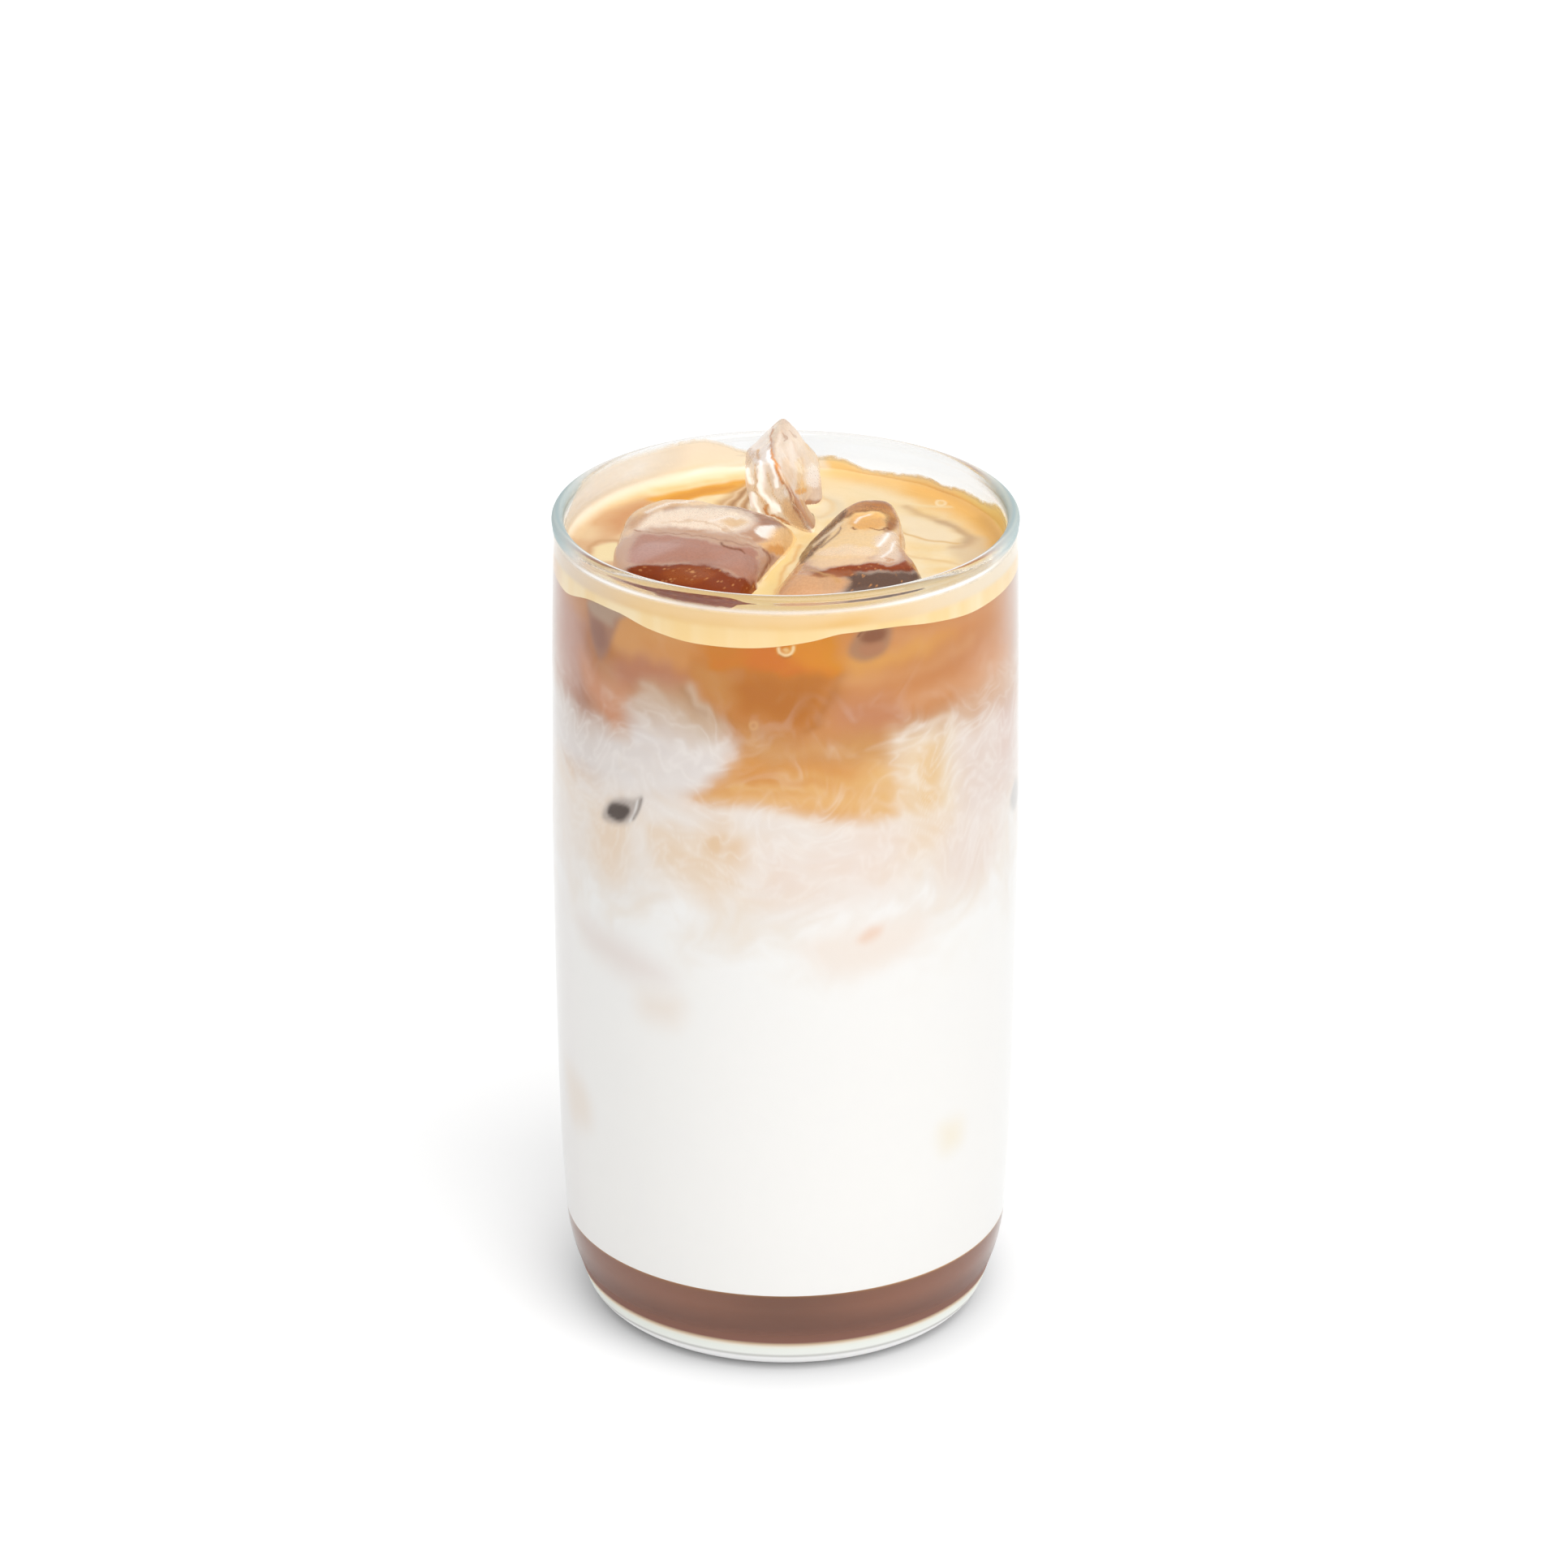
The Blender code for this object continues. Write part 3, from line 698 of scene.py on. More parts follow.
# %% The bright and dark threads
SIDE_THREADS = (
    ("#e3d0bf", 0.35, 1.3, "thread", (-14.8, 121.4), (-13.4, 118.4), (-11.2, 115.6), (-9.2, 112.6)),
    ("#e2d2c4", 0.4, 1.5, "thread", (-24, 117.6), (-20, 116.2), (-15, 113.4), (-11, 111.4)),
    ("#dccab8", 0.4, 1.1, "thread", (-23, 120), (-19.6, 118.6), (-15.6, 116), (-12, 113.4)),
    ("#f3e6d6", 0.4, 0.8, "thread", (18.4, 112.8), (20.2, 113.8), (22.4, 113.6), (25.5, 114), (28.2, 113.4)),
    ("#f5e9d8", 0.2, 1.5, "thread", (18.8, 113), (18, 110), (18.8, 106), (18.6, 101.5)),
    ("#f5e9d8", 0.25, 1.3, "thread", (24, 113), (22.6, 110.8), (20.6, 108), (21.2, 104)),
    ("#f4ead8", 0.25, 1.16, "thread", (28, 112), (28.4, 108), (27.2, 104), (27.6, 99)),
    ("#eadfd6", 0.34, 0.87, "thread", (-26.4, 116.4), (-24.6, 114.6), (-22.4, 113), (-19.5, 111.6), (-16, 110.8)),
    ("#f4e8df", 0.45, 0.9, "thread", (-16, 101.6), (-12, 101), (-6, 101.4), (0, 100.8), (4, 99.6), (8, 98.6), (13, 98)),
    ("#f3ece7", 0.4, 1.74, "thread", (-38, 98.5), (-31, 100.4), (-25.5, 103.4), (-20, 104.7), (-15, 106.2),
     (-10.6, 109.2), (-9, 111.4)),
    ("#f2e9e3", 0.34, 1.3, "thread", (-33, 105), (-27, 106.6), (-21, 107.6), (-15.5, 109.8), (-11.5, 112)),
    ("#f4eee9", 0.4, 1.45, "thread", (-22, 98.6), (-18, 100), (-13, 98.2), (-7, 98.6)),
    ("#f3eae2", 0.37, 1.89, "thread", (29.6, 103), (30.4, 107), (32.6, 109.8), (36, 110.9), (39.5, 110.2)),
    ("#f2e7df", 0.31, 1.89, "thread", (33, 106.5), (35.6, 108.4), (39, 108), (41, 105.6)),
    ("#f5ece4", 0.37, 1.45, "thread", (-4.4, 95.6), (-3.6, 92.6), (-5.4, 89), (-8.6, 86.4)),
    ("#f3e6d9", 0.34, 0.87, "thread", (-8, 97.6), (-9.4, 95), (-10.4, 91.4), (-9.6, 88)),
    ("#f4eae1", 0.37, 1.74, "thread", (-25, 96), (-24.2, 92), (-22, 88.6), (-19, 85.6)),
    ("#f4ece4", 0.31, 1.74, "thread", (3, 97), (2, 93), (5, 90), (10, 88.6)),
    ("#f0c688", 0.31, 0.72, "thread", (-8, 105.8), (-3, 106.3), (2, 106.2), (6, 105.4)),
    ("#ecc07e", 0.28, 1.16, "thread", (0, 108.2), (5, 108), (11, 106.2), (16, 106.4)),
    ("#e3b076", 0.28, 1.3, "thread", (-6, 113), (-1, 112), (5, 112.4), (10, 111.4)),
    ("#9d6a3a", 0.25, 0.72, "thread", (-16.4, 121.8), (-15.2, 119.6), (-12.8, 117.6)),
    ("#a9672f", 0.28, 0.72, "thread", (8.4, 124.6), (8.1, 121.6), (5.6, 118.6), (3.2, 116)),
    ("#e5b07c", 0.25, 1.3, "thread", (9, 124.2), (16, 123.2), (25, 123.8), (33, 125.2)),
    ("#e3b08a", 0.28, 1.59, "thread", (20, 118.4), (28, 119), (38, 118.6), (45, 119.6)),
    ("#dea577", 0.31, 1.16, "thread", (14, 130), (24, 129.4), (36, 129.3), (44, 129.3)),
)

# %% [markdown]
# ### Sunk ice and specks
#
# Ice below the surface shows only where it touches the glass, as a dark end with a pale edge and a thin painted
# highlight. It could be modelled, but the rest of it is hidden by the milk, so its ends are painted on the side. The
# bubble and the grains are as small.

# %% Sunk ice and specks
SUNK_ICE = (
    ("#a67c69", 0.85, 0.9, "wash", (-36.6, 130.6), (-33, 131.8), (-27, 132.4), (-28.6, 130), (-30.2, 126.5),
     (-31.7, 123.2), (-33.4, 122), (-35, 124), (-36.2, 127)),
    ("#bda58f", 0.7, 0.9, "wash", (-36.4, 131), (-30, 132.2), (-25, 132.3), (-29.4, 130), (-30.6, 128.4), (-35.4, 129)),
    ("#8d6357", 0.5, 0.9, "wash", (-35.4, 128), (-32.4, 128), (-31.6, 125), (-33.4, 123.6), (-35, 125)),
    ("#ae8468", 0.85, 0.8, "wash", (9.8, 128.6), (11, 131), (13.5, 132.4), (16.8, 131.9), (17, 129.8), (15.7, 127.6),
     (13, 126.6), (10.8, 127.2)),
    ("#8a5843", 0.8, 0.8, "wash", (11.8, 130.4), (13.2, 131.9), (16, 131.4), (15.6, 129.8), (13.4, 129.3)),
    ("#b88061", 0.7, 0.5, "wash", (11.6, 129.2), (15.5, 129.3), (15, 127.7), (12.5, 127.5)),
    ("#6f463a", 0.6, 0.2, "thread", (11.4, 130.9), (12.4, 131.9), (14, 132.3), (16, 131.9)),
    ("#b2a69f", 0.85, 0.7, "wash", (-32.6, 95.2), (-30.4, 94.8), (-27, 95.8), (-25.4, 97.8), (-23.8, 101.2),
     (-25.6, 100.4), (-28.4, 99.8), (-31.2, 98)),
    ("#564a44", 0.97, 0.45, "wash", (-31, 95.9), (-28.2, 95.8), (-26.3, 98), (-27, 98.9), (-30, 98.4), (-31.2, 97)),
    # a thin painted highlight along the sunk piece's edge
    ("#ebe6e2", 0.9, 0.22, "thread", (-26.4, 96.2), (-25.4, 98), (-24.8, 100.2)),
    ("#8f857f", 0.8, 0.3, "thread", (-25.6, 97), (-24.6, 98.8), (-24, 100.8)),
    ("#c9c4c0", 0.9, 1.0, "wash", (47, 93), (50, 94.6), (52.6, 93), (52.4, 90.4), (49.5, 89.6), (47.2, 91)),
    ("#85817e", 0.8, 0.5, "wash", (54.6, 92.5), (56.4, 90), (57, 86), (55.6, 87)),
)
SPECKS = (
    # a bubble ring under the crema, and grains on the glass
    ("#fbe0b0", 0.9, 0.28, "thread", (-1.1, 129.6), (-0.9, 128.9), (-0.2, 128.5), (0.6, 128.6), (1.1, 129.2),
     (1.2, 129.8)),
    ("#f4d39a", 0.7, 0.3, "wash", (-0.5, 129.4), (0.1, 129.7), (0.6, 129.3), (0.1, 128.9)),
    ("#a05c10", 0.6, 0.15, "thread", (-0.9, 128.5), (-0.1, 128.0), (0.9, 128.3)),
    ("#f6c988", 0.25, 0.2, "thread", (-5.6, 116.6), (-5, 117.2), (-4.4, 116.8), (-4.6, 116.1), (-5.2, 116),
     (-5.6, 116.6)),
    ("#8a6a58", 0.7, 0.12, "wash", (-15.9, 21.5), (-15.7, 21.7), (-15.5, 21.5), (-15.7, 21.3)),
    ("#8a6a58", 0.7, 0.12, "wash", (-2.1, 24.3), (-1.9, 24.5), (-1.7, 24.3), (-1.9, 24.1)),
)
print(f"{len(SIDE_MARKS)} washes, {len(SIDE_THREADS)} threads and {len(SUNK_ICE + SPECKS)} marks of ice and specks")

# %% [markdown]
# ### The ground
#
# Under the washes lies the ground: a mixture of coffee and milk that grows stronger upwards. A real drink isn't one
# brown along its mixture. Where light comes through it is amber, and where it is cloudy it is mauve, so the ground has
# three rows of tones and `AMBER` says where each holds. Threads of milk that follow the folds are laid on last.

# %% The ground
AMBER = (
    (0.0, 126.0, 9.0, 4.0, 0, 0.9), (2.0, 104.0, 14.0, 5.0, 0, 0.75), (-16.0, 124.0, 9.0, 4.0, 8, 0.5),
    (-42.0, 116.0, 9.0, 12.0, 0, -0.8), (46.0, 112.0, 9.0, 14.0, 0, -0.4), (75.0, 120.0, 18.0, 6.0, 10, 0.6),
    (105.0, 112.0, 14.0, 8.0, 0, -0.5), (-85.0, 122.0, 16.0, 6.0, -8, 0.5),
)
CLOUDS = (
    (62.0, 108.0, 9.0, 6.0, 20, -0.6), (86.0, 104.0, 10.0, 5.0, -10, -0.5), (112.0, 108.0, 9.0, 7.0, 30, -0.7),
    (-62.0, 106.0, 10.0, 7.0, -15, -0.5), (-90.0, 109.0, 8.0, 6.0, 20, -0.6), (78.0, 98.0, 12.0, 5.0, -8, 0.35),
    (-76.0, 100.0, 9.0, 4.0, 15, 0.3), (-103.0, 100.0, 8.0, 5.0, 25, 0.3),
)
NEUTRAL = (
    (0.0, "#f9f7f4"), (0.08, "#f2eae2"), (0.2, "#efe0d2"), (0.4, "#e4c4a2"), (0.6, "#d6a271"), (0.8, "#c78a54"),
    (1.0, "#b5713a"),
)
AMBER_TONES = (
    (0.0, "#f9f7f4"), (0.08, "#f6eee2"), (0.2, "#f3dfc4"), (0.4, "#ecc084"), (0.6, "#e0a052"), (0.8, "#d58423"),
    (1.0, "#c97512"),
)
MAUVE_TONES = (
    (0.0, "#f7f5f4"), (0.08, "#f1ebe9"), (0.2, "#e8dcd8"), (0.4, "#d8c0b7"), (0.6, "#c9a596"), (0.8, "#b88b7b"),
    (1.0, "#a87665"),
)


def drink_paint(across, height):
    """Colour of the drink against the glass at each distance round from the front and each height."""
    wide_a, wide_b = stir(across, height, on_wall, 15.0, 2.2, 5, 11)
    fine_a, fine_b = stir(wide_a, wide_b, on_wall, 5.0, 0.7, 4, 23)
    base = 0.80 * ease(fine_b, 95.0, 115.0) + 0.13 * ease(wide_b, 70.0, 97.0)
    strength = np.clip(base + strokes(around(fine_a), fine_b, CLOUDS), 0.0, 1.0)
    mixing = ease(height, 62.0, 95.0) * (1 - 0.75 * ease(height, 114.0, 124.0))
    veil = layered(on_wall(fine_a, fine_b * 1.3) / 8.0, 4, 47)
    strength = np.clip(strength + 0.10 * mixing * veil, 0.0, 1.0)
    warmth = strokes(around(wide_a), wide_b, AMBER) + 0.25 * veil
    paint = ramp(strength, NEUTRAL)
    paint = blend(paint, ramp(strength, AMBER_TONES), warmth)
    paint = blend(paint, ramp(strength, MAUVE_TONES), -warmth)
    near_a, near_b = stir(across, height, on_wall, 8.0, 0.30, 2, 83)
    near_a, near_b = stir(near_a, near_b, on_wall, 3.2, 0.20, 2, 97)
    calm = 1 - 0.75 * (1 - ease(height, 100.0, 108.0))
    near_a, near_b = across + (near_a - across) * calm, height + (near_b - height) * calm
    paint = painted(paint, around(near_a), near_b, SIDE_MARKS)
    paint = painted(paint, around(near_a), near_b, SIDE_THREADS)
    curl = mixing * layered(on_wall(fine_a + 3.0 * veil, fine_b * 1.6) / 6.0, 3, 61)
    paint = blend(paint, colour("#f9f4ee"), 0.13 * curl)
    paint = blend(paint, paint * (1.0, 0.93, 0.84), -0.28 * curl)
    thread_place = on_wall(fine_a, fine_b * 1.8)
    fold = np.abs(noise(thread_place / 4.6, 71) + 0.35 * noise(thread_place / 1.9, 73))
    reach = ease(height, 78.0, 92.0) * (1 - ease(height, 112.0, 121.0)) * ease(paint[..., 2], 0.06, 0.45)
    paint = blend(paint, colour("#fbf5ef"), 0.34 * reach * (1 - fold) ** 7)
    return painted(paint, around(across), height, SUNK_ICE + SPECKS)


# %% [markdown]
# ### Milk and coffee
#
# Both are opaque liquids, and so is syrup. They could scatter light below their surface, but behind glass that would
# hardly show and cost much time, so they are plain diffuse colours. The glass in front adds a little reflected light,
# and the studio brightens what faces it, so a tone is first turned back into the liquid's own colour.

# %% Colours behind the glass
HAZE = 0.045
LIGHT = 1.18


def under_glass(seen):
    """The liquid's own colour where `seen` is its colour through the glass, which adds a haze of reflected light."""
    return np.clip((seen - HAZE) / LIGHT, 0.002, 0.93)


print(f"What looks half grey through the glass is painted {under_glass(0.5):.2f}")

# %% A liquid's material
LIQUID_GRAIN = 5 / 3  # millimetres from speck to speck, coarser than real fat drops, so that it just shows


def wet_look(name, roughness, grain):
    """A drink painted by its tint layer, with a faint grain. It shows through the glass, so it has no gloss."""
    look = new_material(name)
    paint = add(look, "ShaderNodeAttribute", {"attribute_name": "tint"})
    place = add(look, "ShaderNodeTexCoord")
    speck = add(look, "ShaderNodeTexNoise", Scale=scale_of(LIQUID_GRAIN), Detail=2.0, Vector=place.outputs["Object"])
    fade = add(look, "ShaderNodeMapRange", Value=speck.outputs["Fac"], To_Min=1 - grain, To_Max=1 + grain)
    tinted = add(look, "ShaderNodeVectorMath", {"operation": "SCALE"}, _0=paint.outputs["Color"])
    look.node_tree.links.new(fade.outputs[0], tinted.inputs["Scale"])
    shader = add(
        look, "ShaderNodeBsdfPrincipled", Base_Color=tinted.outputs[0], Roughness=roughness, Specular_IOR_Level=0.0
    )
    add(look, "ShaderNodeOutputMaterial", Surface=shader.outputs[0])
    return look


# opaque and dull, so that only its clouds are seen
drink_look = wet_look("Milk and coffee", 0.6, 0.006)

# %% [markdown]
# ### The two layers
#
# Where milk and coffee meet is no level line, so a table gives the height of that edge at each azimuth, and another
# the height where the crema starts. The layers could be level discs, but their edges would then show as rings. Each
# layer reaches a little into the glass. A gap between a liquid and its glass would shine like a mirror, and two
# surfaces in the same place would flicker. The paint runs on across the edge, so no line is seen where they meet.

# %% The two layers
INTO_WALL = 0.07
MILK_MIDDLE = 101.0
COFFEE_MIDDLE = 129.0
MILK_EDGE = {
    -170: 107, -153: 110, -138: 111, -122: 117, -112: 112, -104: 105, -94: 100.5, -75: 99.8, -66: 106, -58: 111,
    -50: 113.4, -34: 113, -9: 110, 20: 107, 55: 111, 95: 106, 130: 110, 160: 108,
}
CREMA_EDGE = {
    -180: 129.8, -162: 129.3, -147: 131.1, -137: 131.2, -126: 130.1, -112: 129.3, -96: 129.6, -84: 130.6, -75: 131.6,
    -62: 131.5, -50: 130.6, -35: 129.8, 0: 130.0, 45: 130.6, 90: 130.2, 135: 130.6,
}


def front_circle(sides):
    """Azimuths from -270 to 90 degrees, drawn towards the front by a sine, so that the mesh is finest there."""
    turn = np.linspace(-np.pi, np.pi, sides, endpoint=False)
    return turn - 0.4 * np.sin(turn) - np.pi / 2


def drink_layer(name, low, high, rows, columns, node, slot, floor_z, top_z, crowd=1.0):
    """One layer of the drink, closed above and below by fans.

    Its side rises from low to high, both heights per azimuth, at the inner wall's radius plus the reach into it. A
    crowd above 1 draws the rows together towards the top.
    """
    azimuth = front_circle(columns)
    share = 1 - (1 - np.linspace(0, 1, rows)[:, None]) ** crowd
    height = low(azimuth) + (high(azimuth) - low(azimuth)) * share
    radius = inner_radius(height) + INTO_WALL
    points = np.stack([radius * np.cos(azimuth), radius * np.sin(azimuth), height], axis=-1)
    across = around(WALL_RADIUS * (azimuth + np.pi / 2)) + 0 * height
    paint = opaque(under_glass(drink_paint(across, height)))
    made = surface(name, points, drink_look, {"tint": paint}, first=(0, 0, floor_z), last=(0, 0, top_z), crisp=True)
    return settle(made, slot, node)


drink_layer(
    "milk_body", lambda a: SYRUP_TOP + 0 * a, lambda a: edge_height(MILK_EDGE, a), 150, 640, "milk", "milk", SYRUP_TOP,
    MILK_MIDDLE, crowd=1.7
)
drink_layer(
    "coffee_body", lambda a: edge_height(MILK_EDGE, a), lambda a: edge_height(CREMA_EDGE, a) + 0.3, 152, 640, "coffee",
    "coffee", MILK_MIDDLE, COFFEE_MIDDLE
)

# %% [markdown]
# ## The syrup
#
# Caramel syrup is heavier than milk, so it lies level on the rounded floor: a single dark brown, with a paler line
# where the milk meets it on the right. It could be cut out of the tumbler's inside with a Boolean. Turning the floor's
# own profile, moved a little into the glass, gives the same shape with even faces.

# %% The syrup
# thick and opaque, a flat dark brown through the glass
syrup_look = wet_look("Caramel syrup", 0.45, 0.02)
syrup_profile = [(radius, FLOOR_TOP - INTO_WALL) for radius in (8, 16, 22)]
syrup_profile += floor_corner(-INTO_WALL)
syrup_profile += [(inner_radius(z) + INTO_WALL, z) for z in np.linspace(13.3, SYRUP_TOP, 8)]
syrup_points = turned(syrup_profile, 256)
syrup_height = syrup_points[..., 2]
syrup_tone = under_glass(blend(colour("#916858"), colour("#a9764f"), ease(syrup_height, 14.9, 15.4) * 0.6))
# darker in the front middle: painted shade that offsets the bright reflection of the table in the glass there
syrup_tone = syrup_tone * (1 - 0.3 * np.exp(-((syrup_points[..., :1] / 12) ** 2)) * (syrup_points[..., 1:2] < 0))
syrup_tone = syrup_tone / np.interp(syrup_height, (10.0, 15.0), (0.66, 1.0))[..., None]  # the foot keeps light off it
syrup_edge = ease(syrup_height, 15.1, 15.4) * (0.2 + 0.6 * ease(syrup_points[..., 0], 8.0, 26.0))
syrup_tone = blend(syrup_tone, under_glass(colour("#e6c08e")), syrup_edge)
syrup = surface(
    "syrup_body", syrup_points, syrup_look, {"tint": opaque(syrup_tone)}, first=(0, 0, FLOOR_TOP - INTO_WALL),
    last=(0, 0, SYRUP_TOP), crisp=True
)
settle(syrup, "syrup", "syrup")

# %% [markdown]
# ## The ice
#
# A melting cube still reads as a few flat faces with rounded edges, so each piece is a list of faces, each by the
# bearing and tilt that it faces, in degrees, and its distance from the centre. It could be cut from a block with planes
# and bevelled. Here a piece is the rounded cell inside its faces: along each direction the nearest face decides the
# distance, and a high-power mean rounds the edges, the more so the lower the power, which is `edge`. A hollow is a
# soft dent along one direction, by its depth as a share and its width in degrees. `reach` is about half the size of a
# piece, and spreads its rows evenly over it.

# %% The faces of the ice
ICE = {
    "ice_left": {
        "centre": (-11.5, -7.1, 124.4),
        "reach": (15, 20, 13),
        "edge": 10,
        "faces": (
            (-78, 82, 13.5), (79, 31, 17.7), (173, 1, 15.5), (-126, -1, 16.5), (132, 16, 19.5),
            (-84, -9, 19.4), (-19, 19, 12.3), (4, 62, 16.0), (-18, -7, 10.0), (58, -16, 17.2),
            (0, -90, 12.0),
        ),
        "hollows": (),
    },
    "ice_right": {
        "centre": (10.1, -8.0, 122.9),
        "reach": (15, 17, 14),
        "edge": 12,
        "faces": (
            (-86, 81, 14.1), (166, 41, 12.7), (12, 9, 12.7), (-13, 41, 17.3), (95, 17, 17.6),
            (-87, 5, 16.6), (-48, 12, 16.8), (164, -2, 9.2), (111, -3, 14.0), (0, -90, 12.0),
        ),
        "hollows": ((10, 41, 0.17, 22.0),),
    },
    "ice_back": {
        "centre": (0.2, 19.4, 129.6),
        "reach": (6, 12, 14),
        "edge": 14,
        "faces": (
            (-137, -17, 5.2), (-7, 29, 6.7), (178, 50, 12.7), (-1, 36, 12.5), (-173, -4, 5.7),
            (6, -9, 5.6), (115, 12, 9.7), (-68, -5, 14.4), (-71, -30, 13.2), (0, -90, 16.0),
        ),
        "hollows": ((-34, 36, 0.52, 20.0),),
    },
}
print(*(f"{name}: {len(piece['faces'])} faces round {piece['centre']}" for name, piece in ICE.items()), sep="\n")

# %% The shape of a piece


def pointing(bearing, tilt):
    """Unit direction with a bearing and a tilt in degrees."""
    level = np.cos(np.radians(tilt))
    across = level * np.cos(np.radians(bearing)), level * np.sin(np.radians(bearing))
    return np.array([*across, np.sin(np.radians(tilt))])


def ice_radius(piece, direction):
    """Distance from a piece's centre to its surface along each unit direction: a power mean over the faces ahead."""
    power = piece["edge"]
    total = 0.0
    for bearing, tilt, distance in piece["faces"]:
        total = total + np.maximum(0.0, direction @ pointing(bearing, tilt) / distance) ** power
    radius = total ** (-1 / power)
    for bearing, tilt, depth, width in piece["hollows"]:
        angle = np.degrees(np.arccos(np.clip(direction @ pointing(bearing, tilt), -1, 1)))
        radius = radius * (1 - depth * np.exp(-((angle / width) ** 2)))
    return radius


def ice_points(piece, rows, columns, seed):
    """Grid of points over a piece, from its bottom to its top: its radius along each direction, and melted dimples."""
    azimuth = circle(columns)
    polar = np.pi * (1 - np.linspace(0, 1, rows + 2)[1:-1] ** 0.8)[:, None]
    direction = np.stack(
        [np.sin(polar) * np.cos(azimuth), np.sin(polar) * np.sin(azimuth), np.cos(polar) + 0 * azimuth], axis=-1
    )
    direction = direction * piece["reach"]
    direction /= np.linalg.norm(direction, axis=-1, keepdims=True)
    radius = ice_radius(piece, direction)
    place = np.array(piece["centre"]) + direction * radius[..., None]
    dimples = 0.35 * layered(place / 7.0, 2, seed) + 0.08 * layered(place / 2.0, 2, seed + 5)
    return place + direction * dimples[..., None]


# %% [markdown]
# ### What is seen in the ice
#
# Ice is clear where it is thin and milky where it holds air, so its paint has a fourth value beside the colour, written
# as the last two digits of the hex code, which says how much of it is milky. Purely clear ice would show the drink
# upside down and greyish under this even light, while real ice in coffee is full of streaks and of the coffee's browns.
# The marks paint these streaks and browns, and beside them painted highlights and a painted reflection of the bright
# studio, which lays a pale mauve veil over the dark coffee.
# The marks are places on the level of the drink, x and y in millimetres, where the eye sees them from the front.

# %% The large piece on the left
ICE_CLEAR = "#fdf5e928"
LEFT_ICE = (
    ("#fff0dad8", 0.92, 1.5, "wash", (-23, 16), (-12, 19), (-5, 14), (-8, 7.5), (-19, 10), (-24.5, 9)),
    ("#f0d2aec0", 0.9, 0.9, "wash", (-27, 6), (-26, 15), (-21.6, 22), (-14, 23), (-8, 20), (-13, 18.6), (-20, 18),
     (-23.4, 13), (-25, 6)),
    ("#c99a72a0", 0.6, 0.8, "wash", (-25.6, 9), (-24.6, 15), (-21, 20), (-16, 21.4), (-18, 18.6), (-21.6, 16),
     (-24, 10)),
    ("#e9c69cb0", 0.8, 0.5, "thread", (-27, 4), (-26.4, 12), (-23.6, 18.4), (-20, 22), (-14, 22.6), (-8, 20.4)),
    # painted reflection: the bright studio as a pale veil over the dark coffee, mauve and pink-brown, with a lilac
    # highlight at its left
    ("#bd8f8280", 0.95, 1.0, "wash", (-24.6, 4), (-22, 7), (-16, 5.4), (-10, 2.4), (-5, 0), (-4, -8), (-5, -15),
     (-10, -9), (-16, -6), (-24.4, -6)),
    ("#cdb0ac90", 0.7, 1.2, "wash", (-24.6, -1), (-22, 3), (-17, 2), (-20, -2), (-24, -6)),
    ("#cfa59a80", 0.5, 0.8, "wash", (-12, 0), (-7, -2), (-7, -8), (-11, -6)),
    ("#7f3206dc", 1.0, 0.7, "wash", (-25.4, -8), (-19, -6.4), (-13.6, -6.2), (-11.4, -7.6), (-8, -11.6), (-5.4, -13.4),
     (-4.4, -24), (-14, -26), (-22, -18)),
    ("#9c4c14c8", 0.6, 0.9, "wash", (-19, -9), (-13.6, -7), (-11, -11), (-15, -15), (-19, -13)),
    ("#6d3a2640", 0.85, 0.28, "thread", (-10.2, 3.2), (-9, 1.2), (-7.4, 0), (-6.6, -1.6)),
    ("#edc47ca0", 0.55, 0.9, "wash", (-10.4, 12.6), (-8, 13.8), (-6.4, 11.6), (-9, 9.6)),
    # a painted highlight on white frost
    ("#fffaf2f0", 0.95, 0.5, "wash", (-4.6, 9.6), (-2, 10.2), (-0.8, 7), (-2.4, 4.8), (-4.6, 7)),
    ("#ffd38cb8", 0.9, 1.2, "wash", (-1, 10), (2.4, 7), (2, 1), (-1, -3), (-4.6, 2), (-3, 4)),
    ("#e09a42a0", 0.6, 0.6, "wash", (-2.6, 2), (0, 0.6), (-0.6, -2.6), (-3, -1)),
    ("#8a4c2840", 0.85, 0.4, "thread", (-3.6, 0), (-2.4, -4), (-3.4, -9), (-4.4, -14)),
    ("#f1dcbe90", 0.6, 0.3, "thread", (-20, 11.6), (-14, 12.6), (-9.6, 9), (-5.6, 4.6)),
    ("#e0c2a090", 0.6, 0.3, "thread", (-10, 9), (-7.6, 5), (-5, 1), (-4.4, -4)),
    ("#fffaf2e8", 0.75, 0.5, "thread", (-22.6, 16.4), (-19, 20.4), (-14.6, 21.6)),
    ("#fffaf2e8", 0.6, 0.35, "thread", (-12, 12.6), (-9.6, 14.4), (-7.8, 13.6)),
    ("#a87a6060", 0.7, 0.3, "thread", (-24.6, 8), (-21, 7.6), (-15, 6.2), (-9, 3.6), (-4.4, 0.6)),
)

